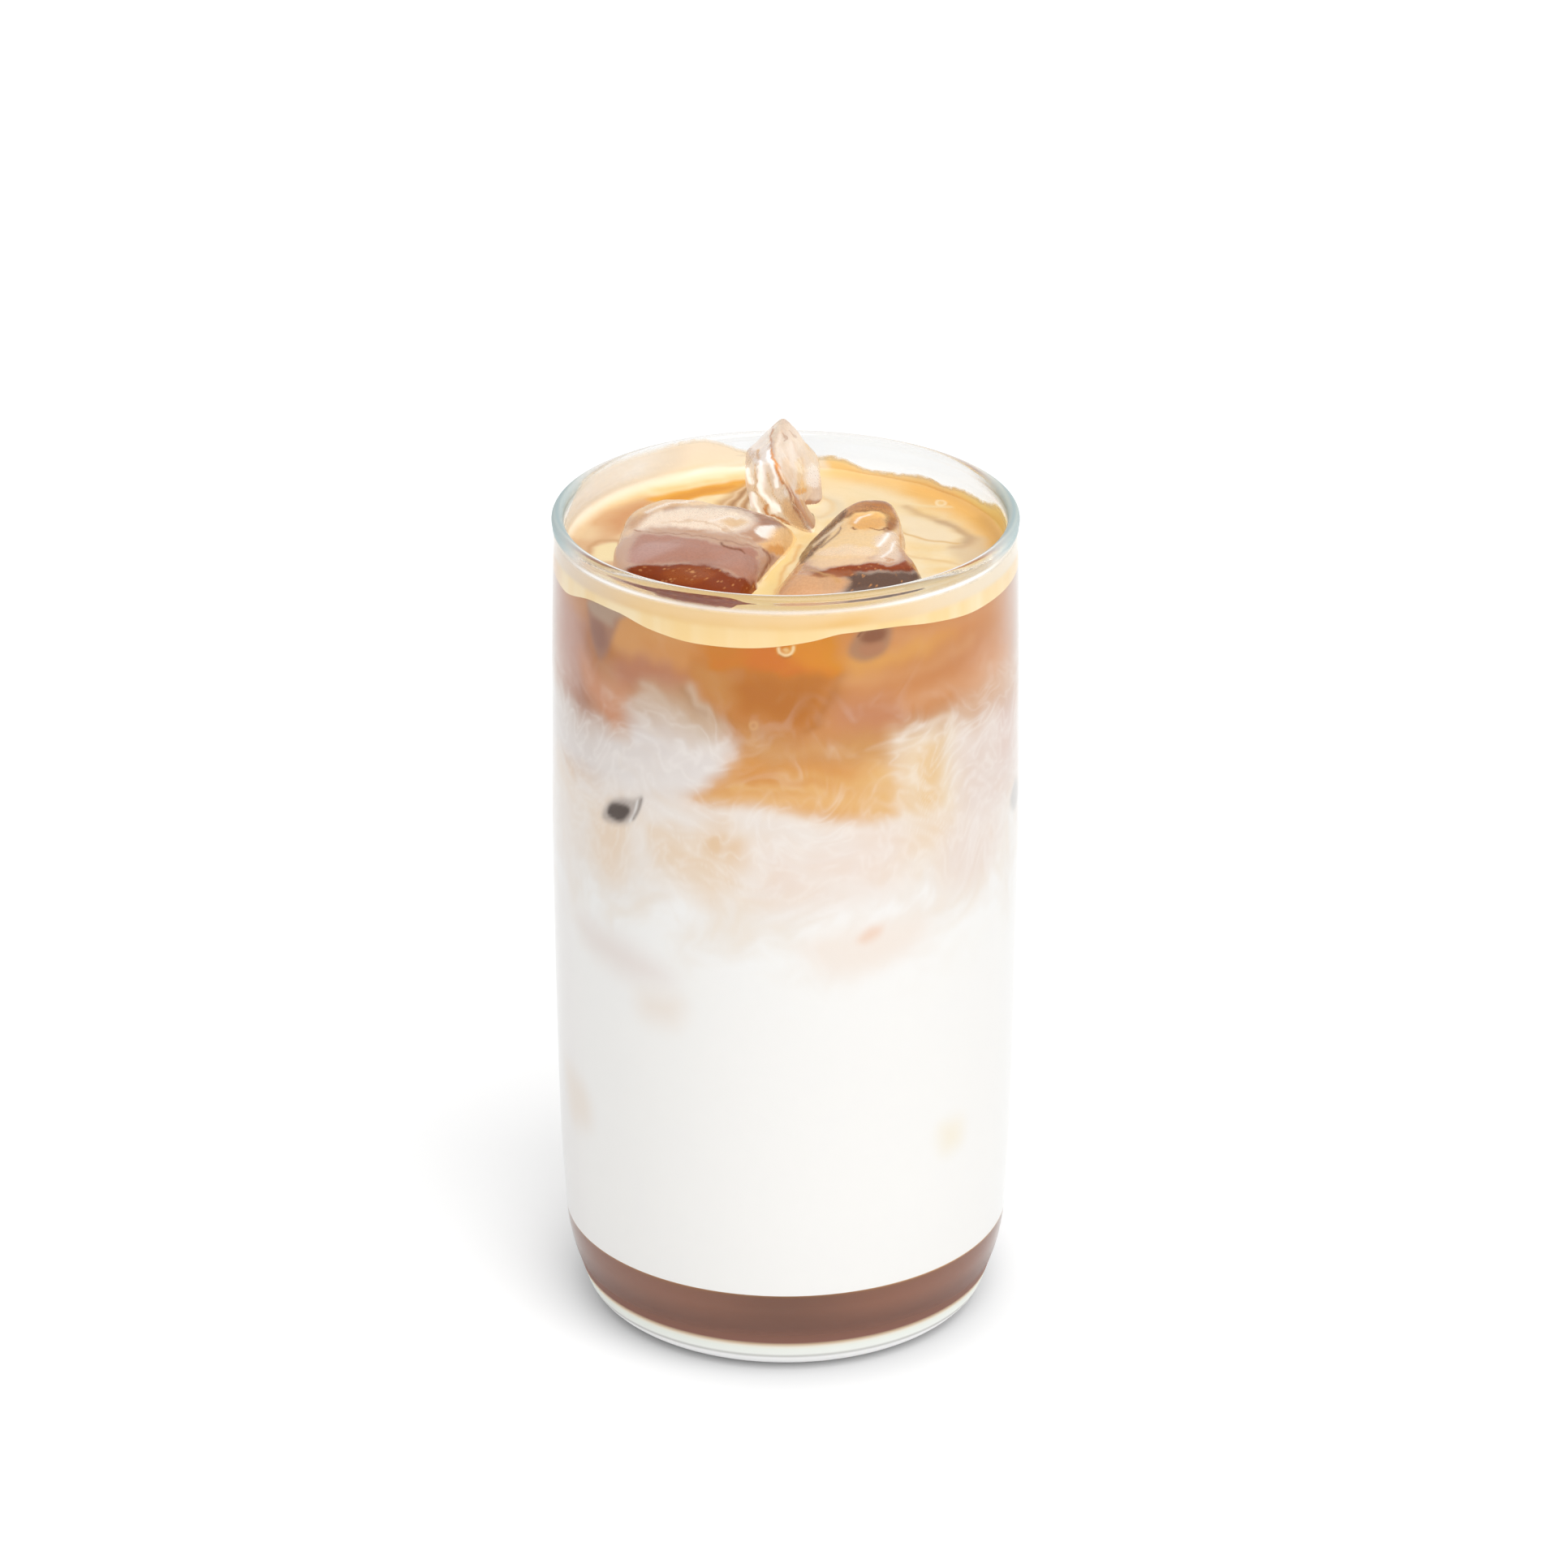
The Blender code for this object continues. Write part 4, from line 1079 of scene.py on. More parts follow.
# %% The wedge on the right
RIGHT_ICE = (
    ("#ffe0a4c0", 0.9, 1.0, "wash", (4, 4), (9, 14.6), (14, 18), (18, 14), (18, 0), (10, -4), (3, -4)),
    ("#a8713f80", 0.9, 0.7, "wash", (8.4, 15), (11, 20.6), (14.4, 22), (17.6, 20), (18.4, 12), (17, 7.6), (16, 8),
     (16.4, 13), (15, 16.4), (12, 16.4), (10, 14)),
    ("#50280fff", 0.6, 0.28, "thread", (10.2, 14.2), (11.4, 16.8), (14.6, 17), (16.2, 14), (16.2, 9)),
    ("#c48a4c60", 0.7, 0.35, "thread", (10.4, 19), (13.4, 20.4), (16.2, 19.2), (17.4, 15)),
    ("#4c220cc0", 0.9, 0.4, "wash", (1.8, -4), (3.6, 2.6), (5.8, 9), (8, 15.4), (10, 18), (9.6, 14), (8, 9.6),
     (6.8, 5), (5.2, 0), (3, -6)),
    ("#f6e2c2e0", 0.9, 0.35, "thread", (4.4, 1.4), (6, 5), (7.8, 8.8), (8.8, 11.6)),
    ("#f5e0bf80", 0.8, 0.35, "thread", (3, 2.6), (5, 7), (7, 12)),
    ("#6a381aff", 0.8, 0.22, "thread", (5.6, 0.6), (7, 3.8), (8.6, 7.4), (9, 10)),
    ("#fbc676a0", 0.9, 0.9, "wash", (10.4, 13), (12, 16), (15.4, 15.4), (16, 10), (13, 8.8), (10.8, 9.8)),
    ("#5c34185f", 0.9, 0.3, "thread", (10.8, 9.2), (11.2, 8.8)),
    ("#7b4a2360", 0.8, 0.25, "thread", (13.6, 9.4), (15, 8.6), (16.4, 8.9)),
    ("#efd9c0d0", 0.9, 0.8, "wash", (14.2, 5), (17, 8), (18.2, 5), (18.2, -4), (16.4, -5.6), (14, -5), (14.8, 0)),
    ("#fae4c4c8", 0.85, 0.9, "wash", (4.6, -1.6), (9, 1.6), (14, 0.6), (13.6, -3), (8, -3.4)),
    ("#fbe0b4b8", 0.85, 1.0, "wash", (4, -3.6), (11, -2.6), (14, -5), (10, -7), (5, -8)),
    ("#8e3a00dc", 1.0, 0.6, "wash", (8.6, -7.4), (13, -6.2), (17, -6.8), (19.4, -4.6), (21, -9.4), (15, -9.4),
     (5, -10.4)),
    ("#4c3226e0", 0.95, 1.5, "wash", (9, -10), (14, -9.6), (20, -9.4), (22, -13), (16, -19), (9, -20), (9.6, -14)),
    ("#a9602c40", 0.9, 0.8, "wash", (4.6, -10), (9, -8.8), (11, -10.4), (8, -12.4), (4, -12)),
    ("#e6b684b0", 0.9, 0.9, "wash", (-1, -11), (5, -11.6), (10, -13), (8, -19), (2, -24), (-2, -20)),
    ("#edc68a70", 0.8, 0.5, "thread", (0.4, -8), (3.4, -9), (7, -11.4), (8.4, -14)),
    # painted highlights: thin white glints
    ("#fffcf6f0", 0.9, 0.45, "thread", (15, 1.6), (16, 4.6), (16.6, 7)),
    ("#fffcf6f0", 0.85, 0.3, "thread", (15.6, -3), (16.8, -0.6), (17.4, 3)),
    ("#fffcf6f0", 0.7, 0.35, "thread", (11.4, 12), (12.4, 14.6), (13.8, 15.6)),
    ("#c98c56c0", 0.8, 0.3, "thread", (16.2, -3.6), (17.2, -4.6), (16.2, -5)),
    ("#e9b26a80", 0.7, 0.4, "thread", (18.6, 6), (18.6, 0), (20, -6), (21.6, -11)),
)

# %% The shard at the back
SHARD = (
    ("#fff8f0e0", 0.94, 0.8, "wash", (-0.5, 62), (-4, 55), (-7, 46), (-8, 36), (-7, 12), (0, 4), (6, 3), (1, 18),
     (-1, 32), (-2.4, 45), (-2.1, 56)),
    ("#eedfccc0", 0.85, 0.6, "wash", (-0.5, 62), (3, 56), (7, 44), (8, 26), (3, 22), (0, 30), (-2, 42), (-2.2, 54)),
    ("#e4cfbcb0", 0.7, 0.5, "wash", (-1, 60), (0, 61), (1.6, 57), (1, 51), (-0.6, 53)),
    ("#b28c76c0", 0.75, 0.18, "thread", (-0.4, 53.4), (0.2, 51), (0, 49.8)),
    ("#b28c76c0", 0.7, 0.18, "thread", (0.6, 54.4), (1.4, 52.4), (1.8, 51)),
    ("#f0cfa680", 0.8, 0.5, "wash", (-0.6, 40), (0.4, 41.4), (1.2, 34), (0.6, 27), (-0.2, 30)),
    ("#f7dca670", 0.85, 0.5, "wash", (1.8, 40), (2.8, 40), (3.4, 30), (3, 25), (1.8, 27)),
    ("#efac38a0", 0.9, 0.35, "wash", (1.6, 26.6), (2.8, 27.4), (3.2, 25.4), (2, 24.6)),
    ("#fbf7f2e0", 0.7, 0.8, "wash", (3.4, 36), (4.6, 39), (5.8, 36), (5.8, 29), (4.4, 27.6), (3.4, 30)),
    ("#eec98ea0", 0.8, 0.4, "thread", (3.8, 48.4), (4.8, 44.6), (5.6, 40)),
    ("#dab078a0", 0.8, 0.4, "thread", (-4.8, 44.6), (-4.6, 41), (-4.9, 38)),
    ("#d6bda8b0", 0.7, 0.6, "wash", (-7, 44), (-5.8, 46), (-5.2, 41), (-6.6, 38)),
    ("#fffefcff", 1.0, 0.6, "thread", (-6.4, 36.4), (-6.2, 33), (-5.7, 29.4)),
    ("#fffefcff", 1.0, 1.05, "thread", (-4.1, 39.6), (-4.1, 33), (-3.9, 26.5), (-2.5, 20.6), (-1.2, 16.8)),
    ("#fffefcff", 1.0, 0.5, "thread", (-2.9, 44.4), (-2.3, 38.6), (-1.7, 33.3), (-1.3, 28)),
    ("#fffefcff", 1.0, 0.7, "thread", (-5.3, 25.4), (-5, 20), (-4, 15.8)),
    ("#fdfcfaff", 0.9, 0.2, "thread", (-0.3, 26.6), (0.3, 22.2)),
    ("#e5bb8ca0", 0.6, 0.22, "thread", (-5.2, 38), (-4.95, 31), (-4.8, 26), (-3.2, 18)),
    ("#e6c096a0", 0.6, 0.24, "thread", (-2.9, 34.4), (-2.4, 28), (-1.7, 23.6), (-0.6, 18.8)),
    ("#d7954890", 0.9, 0.35, "thread", (-3.2, 19.4), (-2.8, 15)),
    ("#ecc798b8", 0.85, 0.6, "wash", (-0.4, 22), (0.6, 22.4), (2.6, 12.2), (4.4, 5), (2.4, 7.6), (0.4, 13), (-0.6, 18)),
    ("#cf801f90", 0.9, 0.4, "thread", (-2, 15.4), (-0.2, 12.6), (1.2, 8.7)),
    ("#7f3e16c0", 0.9, 0.25, "thread", (-0.2, 11.4), (1, 9), (2, 7.6)),
    ("#c99473c0", 0.9, 0.16, "thread", (-2.1, 56.3), (-2.5, 50.1), (-2.4, 45.2)),
    ("#e58c0af0", 1.0, 0.26, "thread", (-2.4, 45.4), (-1.7, 39.5), (-0.9, 32.6), (-0.5, 29)),
    ("#a05a26f0", 0.95, 0.18, "thread", (-0.6, 31), (0.3, 25.6), (1.6, 18), (2.8, 12.2), (4.1, 7.6)),
)

# %% The marks of the three pieces
ICE_MARKS = {"ice_left": LEFT_ICE, "ice_right": RIGHT_ICE, "ice_back": SHARD}
print(*(f"{name}: {len(marks)} marks" for name, marks in ICE_MARKS.items()), sep="\n")

# %% Where the eye sees a point
EYE = (-961.5, 511.0)


def seen_on_surface(place):
    """Where the line from the eye through each point meets the level of the drink, as x and y there."""
    share = (EYE[1] - CREMA_TOP) / (EYE[1] - place[..., 2])
    return place[..., 0] * share, EYE[0] + (place[..., 1] - EYE[0]) * share


# %% [markdown]
# ### Wet ice
#
# Ice bends light less than glass does (1.31), and its wet skin is glossy. Where it is milky it is rougher and lets less
# light through, and where the paint is fully milky it glows a little: painted light that lifts the whitest parts out of
# their shade.
# Bubbles could be modelled inside it, but they would be thousands. A fine grain breaks up the tone and dents the skin.

# %% Wet ice
FROST_GRAIN = 5 / 12  # millimetres from bubble to bubble, coarser than real ones, so that it shows
# clear and sharp where it is thin, soft and white where it is full of air
ice_look = new_material("Clear wet ice")
ice_place = add(ice_look, "ShaderNodeTexCoord")
ice_paint = add(ice_look, "ShaderNodeAttribute", {"attribute_name": "tint"})
ice_grain = add(
    ice_look, "ShaderNodeTexNoise", Scale=scale_of(FROST_GRAIN), Detail=2.0, Vector=ice_place.outputs["Object"]
)
ice_frost = add(
    ice_look, "ShaderNodeMapRange", Value=ice_grain.outputs["Fac"], From_Min=0.35, From_Max=0.65, To_Min=0.93,
    To_Max=1.05
)
ice_share = add(
    ice_look, "ShaderNodeMath", {"operation": "MULTIPLY"}, _0=ice_paint.outputs["Alpha"], _1=ice_frost.outputs[0]
)
ice_clear = add(ice_look, "ShaderNodeMapRange", Value=ice_share.outputs[0], To_Min=1.0, To_Max=0.1)
ice_rough = add(ice_look, "ShaderNodeMapRange", Value=ice_share.outputs[0], To_Min=0.02, To_Max=0.35)
# a painted glow where the paint is fully milky, lifting it out of shade
ice_painted_glow = add(ice_look, "ShaderNodeMapRange", Value=ice_paint.outputs["Alpha"], From_Min=0.9, From_Max=1.0, To_Max=0.4)
ice_bump = add(ice_look, "ShaderNodeBump", Height=ice_grain.outputs["Fac"], Strength=0.05, Distance=0.0004)
ice_shader = add(
    ice_look, "ShaderNodeBsdfPrincipled", Base_Color=ice_paint.outputs["Color"], IOR=1.31,
    Roughness=ice_rough.outputs[0], Transmission_Weight=ice_clear.outputs[0], Normal=ice_bump.outputs[0],
    Emission_Color=rgba("#f4f6ff"), Emission_Strength=ice_painted_glow.outputs[0]
)
add(ice_look, "ShaderNodeOutputMaterial", Surface=let_light_through(ice_look, ice_shader))

# dull and opaque, seen only through the ice
lining_look = wet_look("Coffee round the ice", 0.5, 0.03)

# %% [markdown]
# ### The three pieces and their linings
#
# Under the drink's surface each piece is lined with a skin of coffee just inside its own surface, so that looking down
# into it one sees the coffee round it with no gap: cream at the waterline and darker the deeper it goes. The coffee
# could be hollowed out round the ice instead, but then a thin gap or an overlap would show through the clear ice.

# %% The three pieces and their linings
DEEPEST = 20  # millimetres down to the darkest coffee
LINING_TONES = (
    (0.0, "#fbe6c0"), (0.12, "#f8d8a4"), (0.25, "#ecbd84"), (0.45, "#cf9257"), (0.7, "#a06432"), (1.0, "#7a4520"),
)
for seed, (name, piece) in enumerate(ICE.items()):
    grid = ice_points(piece, 190, 256, 90 + seed)
    centre = np.array(piece["centre"])
    low = centre - (0, 0, ice_radius(piece, np.array([0, 0, -1.0])))
    high = centre + (0, 0, ice_radius(piece, np.array([0, 0, 1.0])))
    ground = np.zeros((*grid.shape[:2], 4)) + colour(ICE_CLEAR)
    seen_x, seen_y = seen_on_surface(grid)
    wobble = layered(grid / 2.2, 3, 170 + seed)
    tint = painted(ground, seen_x + 0.35 * wobble, seen_y + 0.7 * wobble, ICE_MARKS[name])
    speck = ease(layered(grid / 0.45, 2, 180 + seed), 0.55, 0.85) * ease(0.25 - tint[..., 1], 0.0, 0.1)
    tint = blend(tint, colour("#e8a868a0"), 0.8 * speck)
    lump = surface(name + "_clear", grid, ice_look, {"tint": tint}, first=low, last=high)
    settle(lump, "ice", name)
    inward = centre - grid
    inward /= np.linalg.norm(inward, axis=-1, keepdims=True)
    lining = grid + inward * 0.12
    depth = CREMA_TOP - lining[..., 2] + 0.8 * layered(lining / 3.0, 3, 120 + seed)
    tone = opaque(ramp(np.clip(depth, 0, DEEPEST) / DEEPEST, LINING_TONES))
    wet = lining[:-1, :, 2] < CREMA_TOP + 0.4
    cup = surface(name + "_lining", lining, lining_look, {"tint": tone}, keep=wet, first=low + (0, 0, 0.2))
    settle(cup, "coffee")

# %% [markdown]
# ## The crema
#
# The skin of fine foam is one sheet: level in the middle, turned up in a small meniscus at the ice, and drawn up the
# wall as a film whose top edge is ragged. It could be a disc and a ring, but a seam would show where the top climbs
# the wall. The sheet has holes where the ice stands: cells inside a piece are left out, and the points round them are
# moved out to just inside its surface.

# %% Round the ice
HOLE = 0.93  # how far inside a piece the foam ends, as a share of the way out from its centre


def ice_nearness(x, y, z):
    """Share of the way from a piece's centre to its surface at each place, the least over the pieces."""
    best = np.full(np.shape(x), 9.0)
    for piece in ICE.values():
        away = np.stack([x, y, z], axis=-1) - piece["centre"]
        length = np.linalg.norm(away, axis=-1)
        best = np.minimum(best, length / ice_radius(piece, away / length[..., None]))
    return best


def push_to_ice(x, y, z):
    """Moves the points that lie inside a piece level outwards to just inside its surface, a little at a time."""
    for piece in ICE.values():
        cx, cy, cz = piece["centre"]
        for _ in range(12):
            away = np.stack([x - cx, y - cy, z - cz], axis=-1)
            length = np.linalg.norm(away, axis=-1)
            share = length / ice_radius(piece, away / length[..., None])
            grow = np.where(share < HOLE, np.clip(HOLE / share, 1.0, 1.25), 1.0)
            x = cx + (x - cx) * grow
            y = cy + (y - cy) * grow
    return x, y


# %% [markdown]
# ### The foam's colours
#
# Crema is cream where it is thick and lets the coffee through where it is thin. From above its marks are places in x
# and y, and along the back wall they are distances round from its middle and heights. `cover` thins the film to nothing
# at its ragged edge. The front hangs behind the glass, so its tones are turned back as the drink's are. The streaks
# could come from noise alone, but noise puts none of them where the eye expects it, under the ice and along the wall.

# %% The foam from above
TOP_MARKS = (
    # the right side, deeper towards the wall, with a loop of grey-brown
    ("#f9cd88", 0.9, 4.0, "wash", (6, 36), (20, 34), (34, 20), (38, 2), (33, -6), (30, 6), (25, 16), (16, 25), (8, 29)),
    ("#f5c070", 0.9, 2.6, "wash", (21, 29), (31, 21), (37, 8), (37, -3), (32.5, -1), (31, 8), (27, 16), (20, 23)),
    ("#e9b35f", 0.7, 1.8, "wash", (30.5, 14), (36, 11), (37, -1), (33.6, -3), (32.4, 5), (31, 10)),
    ("#fde4b8", 0.85, 2.4, "wash", (5, 33), (13, 29), (21, 20), (15, 21), (8, 24)),
    ("#fae3bd", 0.8, 1.6, "wash", (1.5, 22), (5, 26), (9, 24), (10, 18), (6.5, 13), (2.6, 15)),
    ("#e8d3ae", 0.6, 0.9, "thread", (4, 13), (7.6, 15.4), (8.6, 19.6), (6.4, 23.4), (3.8, 22)),
    ("#f8e2bd", 0.85, 2.0, "wash", (19, 15), (23.5, 13), (27, 8), (26.6, 3), (22, 3.4), (18.6, 9)),
    ("#dfc29a", 0.75, 1.8, "wash", (27.6, 3), (31.4, 4.6), (33, -2), (29.4, -7), (27, -3)),
    ("#cfa677", 0.6, 1.0, "thread", (19.6, 18.6), (22, 15.4), (25.6, 12.4), (28.4, 8.6), (29.6, 4.6), (29.2, 1.6),
     (27, 0.4)),
    ("#b08a64", 0.4, 0.8, "thread", (25.2, 12.4), (27.8, 9), (29, 5.2), (28.8, 2.6)),
    ("#dfae62", 0.8, 0.35, "thread", (17.6, 7.8), (21, 5.6), (25, 3.4), (27.6, 2.2)),
    ("#e6bc7c", 0.6, 0.5, "thread", (18, -2.4), (23, -4), (28.6, -7.4)),
    ("#efc98e", 0.6, 0.6, "thread", (6, 14), (7.4, 18), (7, 22), (4.6, 25)),
    # a bubble: a pale ring, laid as a disc with a smaller one of the crema's own tone on it
    ("#ffe9c0", 0.8, 0.2, "wash", (24.2, 20.6), (24.7, 21.8), (25.8, 21.8), (26.4, 20.6), (25.8, 19.4), (24.7, 19.4)),
    ("#f4c87e", 0.8, 0.25, "wash", (24.7, 20.6), (25.0, 21.3), (25.6, 21.3), (25.9, 20.6), (25.6, 19.9), (25.0, 19.9)),
    ("#f9dfae", 0.7, 0.5, "thread", (9, 28), (12.6, 25), (17, 21.4), (22, 19.4), (27, 19)),
    # the left side: a crescent of brown liquid, an orange edge and pale foam along the wall
    ("#e0ae7c", 0.95, 2.2, "wash", (-34, 11), (-29, 18), (-23.6, 23), (-20.6, 22), (-24, 14), (-26, 7), (-27, 1),
     (-34, 1)),
    ("#d3915a", 0.8, 1.8, "wash", (-28.6, 12), (-26, 18), (-22.6, 21), (-24, 14), (-27, 7)),
    ("#efcfa2", 0.85, 1.6, "wash", (-37, 7), (-33.6, 12), (-30.4, 9), (-31, 3), (-35, -3)),
    ("#fae3bb", 0.9, 1.3, "wash", (-38, 12), (-33, 19), (-26, 26), (-24, 24.6), (-29, 18.6), (-33.4, 10)),
    ("#dfb385", 0.9, 1.6, "wash", (-37, 3), (-31, 4.6), (-25.6, 4), (-24.6, -7), (-30, -11), (-36, -6)),
    ("#f8e2ae", 0.95, 0.8, "wash", (-31.2, -1), (-29.6, 2.8), (-26.8, 2.6), (-25.8, -1), (-26.8, -4.8), (-29.8, -4.8)),
    ("#cf9c68", 0.8, 0.5, "thread", (-32, -2), (-30.6, 3.6), (-27, 3.8), (-25, 0)),
    ("#fbe8c0", 0.95, 0.9, "wash", (-29, 24), (-21, 27.2), (-13, 31), (-4, 34.8), (-10, 36), (-21, 32), (-29, 27)),
    ("#eda62c", 1.0, 0.8, "wash", (-23, 22), (-20, 24.8), (-14, 27.6), (-7, 31.4), (-6, 27.4), (-9, 25), (-14, 23),
     (-18, 21)),
    ("#df8f12", 0.85, 0.8, "wash", (-20, 23), (-15, 26), (-9, 28.7), (-9.6, 26.6), (-14.4, 23.6), (-19, 22)),
    # the fan of foam and coffee at the foot of the upright shard
    ("#c8935e", 0.9, 1.2, "wash", (-11, 19), (-9, 25), (-6, 30.6), (-3, 29), (-1.6, 20), (-4, 15.6), (-7, 16.4)),
    ("#f0cfa4", 0.8, 0.32, "thread", (-9.6, 19.6), (-8.4, 24), (-6.6, 29)),
    ("#f5dcb8", 0.8, 0.35, "thread", (-7.6, 18.6), (-6.8, 23), (-5.4, 28.6)),
    ("#9b6636", 0.7, 0.3, "thread", (-8.6, 19), (-7.6, 23.4), (-6, 28.8)),
    ("#fbeacc", 0.9, 0.45, "thread", (-5.6, 17), (-5.4, 21), (-4.6, 26.6)),
    ("#a8723f", 0.7, 0.3, "thread", (-6.6, 17.8), (-6, 22), (-4.9, 27.6)),
    ("#f8e4c4", 0.9, 0.5, "thread", (-3.6, 15.4), (-4, 18.6), (-3.8, 22)),
    # the channel between the two front pieces, and the foam in front of them
    ("#f9d68c", 0.9, 1.2, "wash", (-4.6, -24), (-3.4, -12), (0, -1), (1.4, 5), (1, -4), (-1, -14), (-1, -24)),
    ("#e6a95a", 0.6, 0.4, "thread", (-1.6, -22), (-1, -14), (1, -5), (2.6, 2)),
    ("#f7d088", 0.9, 3.5, "wash", (-20, -25), (0, -22), (20, -25), (14, -33), (0, -36), (-14, -33)),
)

# %% The film on the back wall
FILM_MARKS = (
    ("#ffdb94", 0.95, 1.2, "wash", (4, 126), (5, 133), (12, 135.4), (20, 133.6), (32, 134.6), (45, 135.6), (56, 137),
     (58, 126)),
    ("#fad492", 0.9, 1.4, "wash", (8, 128), (9, 132), (14, 132.6), (21, 132), (26, 130.8), (24, 128)),
    ("#fdf1dc", 0.95, 0.9, "wash", (3, 128), (4, 134), (7, 133), (9, 129)),
    ("#f9cb7c", 0.85, 1.3, "wash", (26, 131.6), (34, 132.6), (42, 133.4), (52, 135), (54, 128), (40, 129.6)),
    ("#e4b060", 0.2, 1.2, "wash", (38, 130.6), (43, 131.6), (48, 131.6), (50, 128.6), (42, 129)),
    ("#fef3d9", 0.95, 1.4, "wash", (-58, 129), (-52, 134), (-40, 134), (-22, 133.6), (-6, 134.4), (-5, 131.4),
     (-20, 130.4), (-40, 129.6)),
    ("#fbe09c", 0.9, 1.2, "wash", (-18, 134.4), (-13, 137), (-7, 137), (-6, 134.6), (-12, 133.8)),
    ("#fff8e6", 0.9, 0.5, "thread", (-20, 132), (-14, 133.2), (-8, 133.6)),
    ("#fffaf0", 0.8, 0.4, "thread", (-30, 131.6), (-22, 132.2), (-14, 131.8), (-7, 132.6)),
    ("#f6d79c", 0.7, 0.5, "thread", (-40, 133.6), (-30, 134.4), (-20, 134.6)),
    ("#f4ead9", 0.7, 1.2, "wash", (-46, 134.6), (-44, 138.4), (-30, 138), (-20, 137), (-20, 135), (-32, 134.8)),
)
print(f"{len(TOP_MARKS)} marks on top of the foam and {len(FILM_MARKS)} along the back wall")

# %% The paint of the crema
OPEN_LIGHT = 1.10  # the studio's light lifts a tone on the open foam by this much
LIP_EDGE = {
    -170: 135.6, -150: 136.0, -120: 136.2, -90: 136.0, -60: 136.2, -30: 135.8, 0: 136.0, 14: 136.3, 23: 134.8,
    37: 134.4, 44: 133.8, 50: 134.3, 58: 133.6, 67: 133.3, 77: 135.0, 89: 134.6, 101: 136.0, 130: 136.4, 158: 136.6,
}


def lip_height(azimuth):
    """Height of the film's edge: the table's curve, and higher by 2.4 mm along the left of the back wall."""
    return edge_height(LIP_EDGE, azimuth) + 2.4 * ease(azimuth, 1.75, 2.0) * (1 - ease(azimuth, 2.7, 3.05))


def crema_paint(place):
    """Colour and cover of the crema at each point (..., 3)."""
    x, y, z = place[..., 0], place[..., 1], place[..., 2]
    azimuth = np.arctan2(y, x)
    near_x, near_y = stir(x, y, on_top, 9.0, 0.25, 2, 131)
    near_x, near_y = stir(near_x, near_y, on_top, 3.0, 0.12, 2, 137)
    shade = layered(on_top(near_x, near_y) / 6.0, 4, 149)
    flat = blend(colour("#f8d595"), colour("#fbe3b6"), 0.5 + 0.9 * shade)
    flat = painted(flat, near_x, near_y, TOP_MARKS)
    back = around(WALL_RADIUS * (np.pi / 2 - azimuth))
    wave = layered(on_wall(back, z * 1.5) / 4.0, 3, 151)
    film = painted(colour("#fadfb0") + 0 * place, back + wave, z + 0.3 * wave, FILM_MARKS)
    front = blend(colour("#f7ca82"), colour("#fad6a0"), ease(z + 0.5 * wave, 131.0, 135.0))
    front = blend(front, colour("#fae9cf"), ease(x, 8.0, 34.0))
    front = blend(front, colour("#efdac2"), ease(-x, 20.0, 36.0))
    front = blend(front, colour("#f6c67c"), 0.8 * strokes(x, z, ((9.0, 133.2, 5.0, 1.0, 5, 1.0),)))
    # painted light: the band behind the glass is brightened a little, and more towards its top
    front = under_glass(front) * (1.04 + 0.05 * ease(z, 132.0, 134.5))[..., None]
    film = film * (1 + 0.25 * ease(x, 24.0, 33.0) + 0.08 * ease(-x, 20.0, 32.0))[..., None]  # the ends get less light
    side = blend(film / OPEN_LIGHT, front, ease(-y, -6.0, 4.0))
    paint = blend(flat / OPEN_LIGHT, side, ease(z, CREMA_TOP + 0.1, CREMA_TOP + 1.2))
    lip = lip_height(azimuth)
    ragged = layered(on_wall(back, z) / 1.6, 3, 157)
    pale_parts = (
        ("#fdeecb", 0.4 * (1 - ease(lip - z, 0.2, 1.6)) * ease(y, 0, 9)),
        ("#fbf1e0", 0.85 * ease(z, 132.0, 134.2) * ease(azimuth, 2.0, 2.3)),
        ("#fff8ea", 0.85 * ease(z, 132.8, 134.6) * ease(azimuth, 1.6, 1.8)),
    )
    for tone, share in pale_parts:
        paint = blend(paint, colour(tone) / OPEN_LIGHT, share)
    cover = ease(lip - z + 0.35 * ragged, -0.1, 0.9)
    streak = layered(on_wall(back, z * 4.0) / 6.0, 3, 163)
    thin = ease(z, 133.0, 135.2) * ease(azimuth, 2.0, 2.3) * (0.5 + 0.12 * streak)
    return paint, np.clip(cover * (1 - thin), 0, 1)


# %% [markdown]
# ### The sheet of foam
#
# Three grids in a row: the level top from the middle out, the climb up the wall, and the fall behind the glass down to
# where the coffee starts. Their rows share the same azimuths, so they join into one sheet with no seam.

# %% The sheet of foam
CREMA_ROWS = 150
CREMA_COLUMNS = 512
LIP_ROWS = 26
CLIMB = 2.2  # how far from the wall the top starts to climb
OFF_WALL = 0.05
azimuth = circle(CREMA_COLUMNS)
wall = inner_radius(CREMA_TOP) - CLIMB
share = np.linspace(0.012, 1, CREMA_ROWS)[:, None]
flat_x = share * wall * np.cos(azimuth)
flat_y = share * wall * np.sin(azimuth)
flat_z = CREMA_TOP + 0.10 * layered(on_top(flat_x, flat_y) / 8.0, 2, 5)
near = ice_nearness(flat_x, flat_y, flat_z)
inside = near < HOLE
stay = ~(inside[:-1] & inside[1:] & np.roll(inside, -1, 1)[:-1] & np.roll(inside, -1, 1)[1:])
flat_x, flat_y = push_to_ice(flat_x, flat_y, flat_z)
flat_z = flat_z + 0.55 * np.exp(-np.clip(near - HOLE, 0, 9) * 14.0)
lip = lip_height(azimuth)
rise = np.linspace(0, 1, LIP_ROWS + 1)[1:, None]
rise[-2] = 0.992  # the last rows lie close to the lip, so that its turn stays tight
climb_z = CREMA_TOP + (lip - CREMA_TOP) * rise**1.8
beside_wall = inner_radius(climb_z) - OFF_WALL
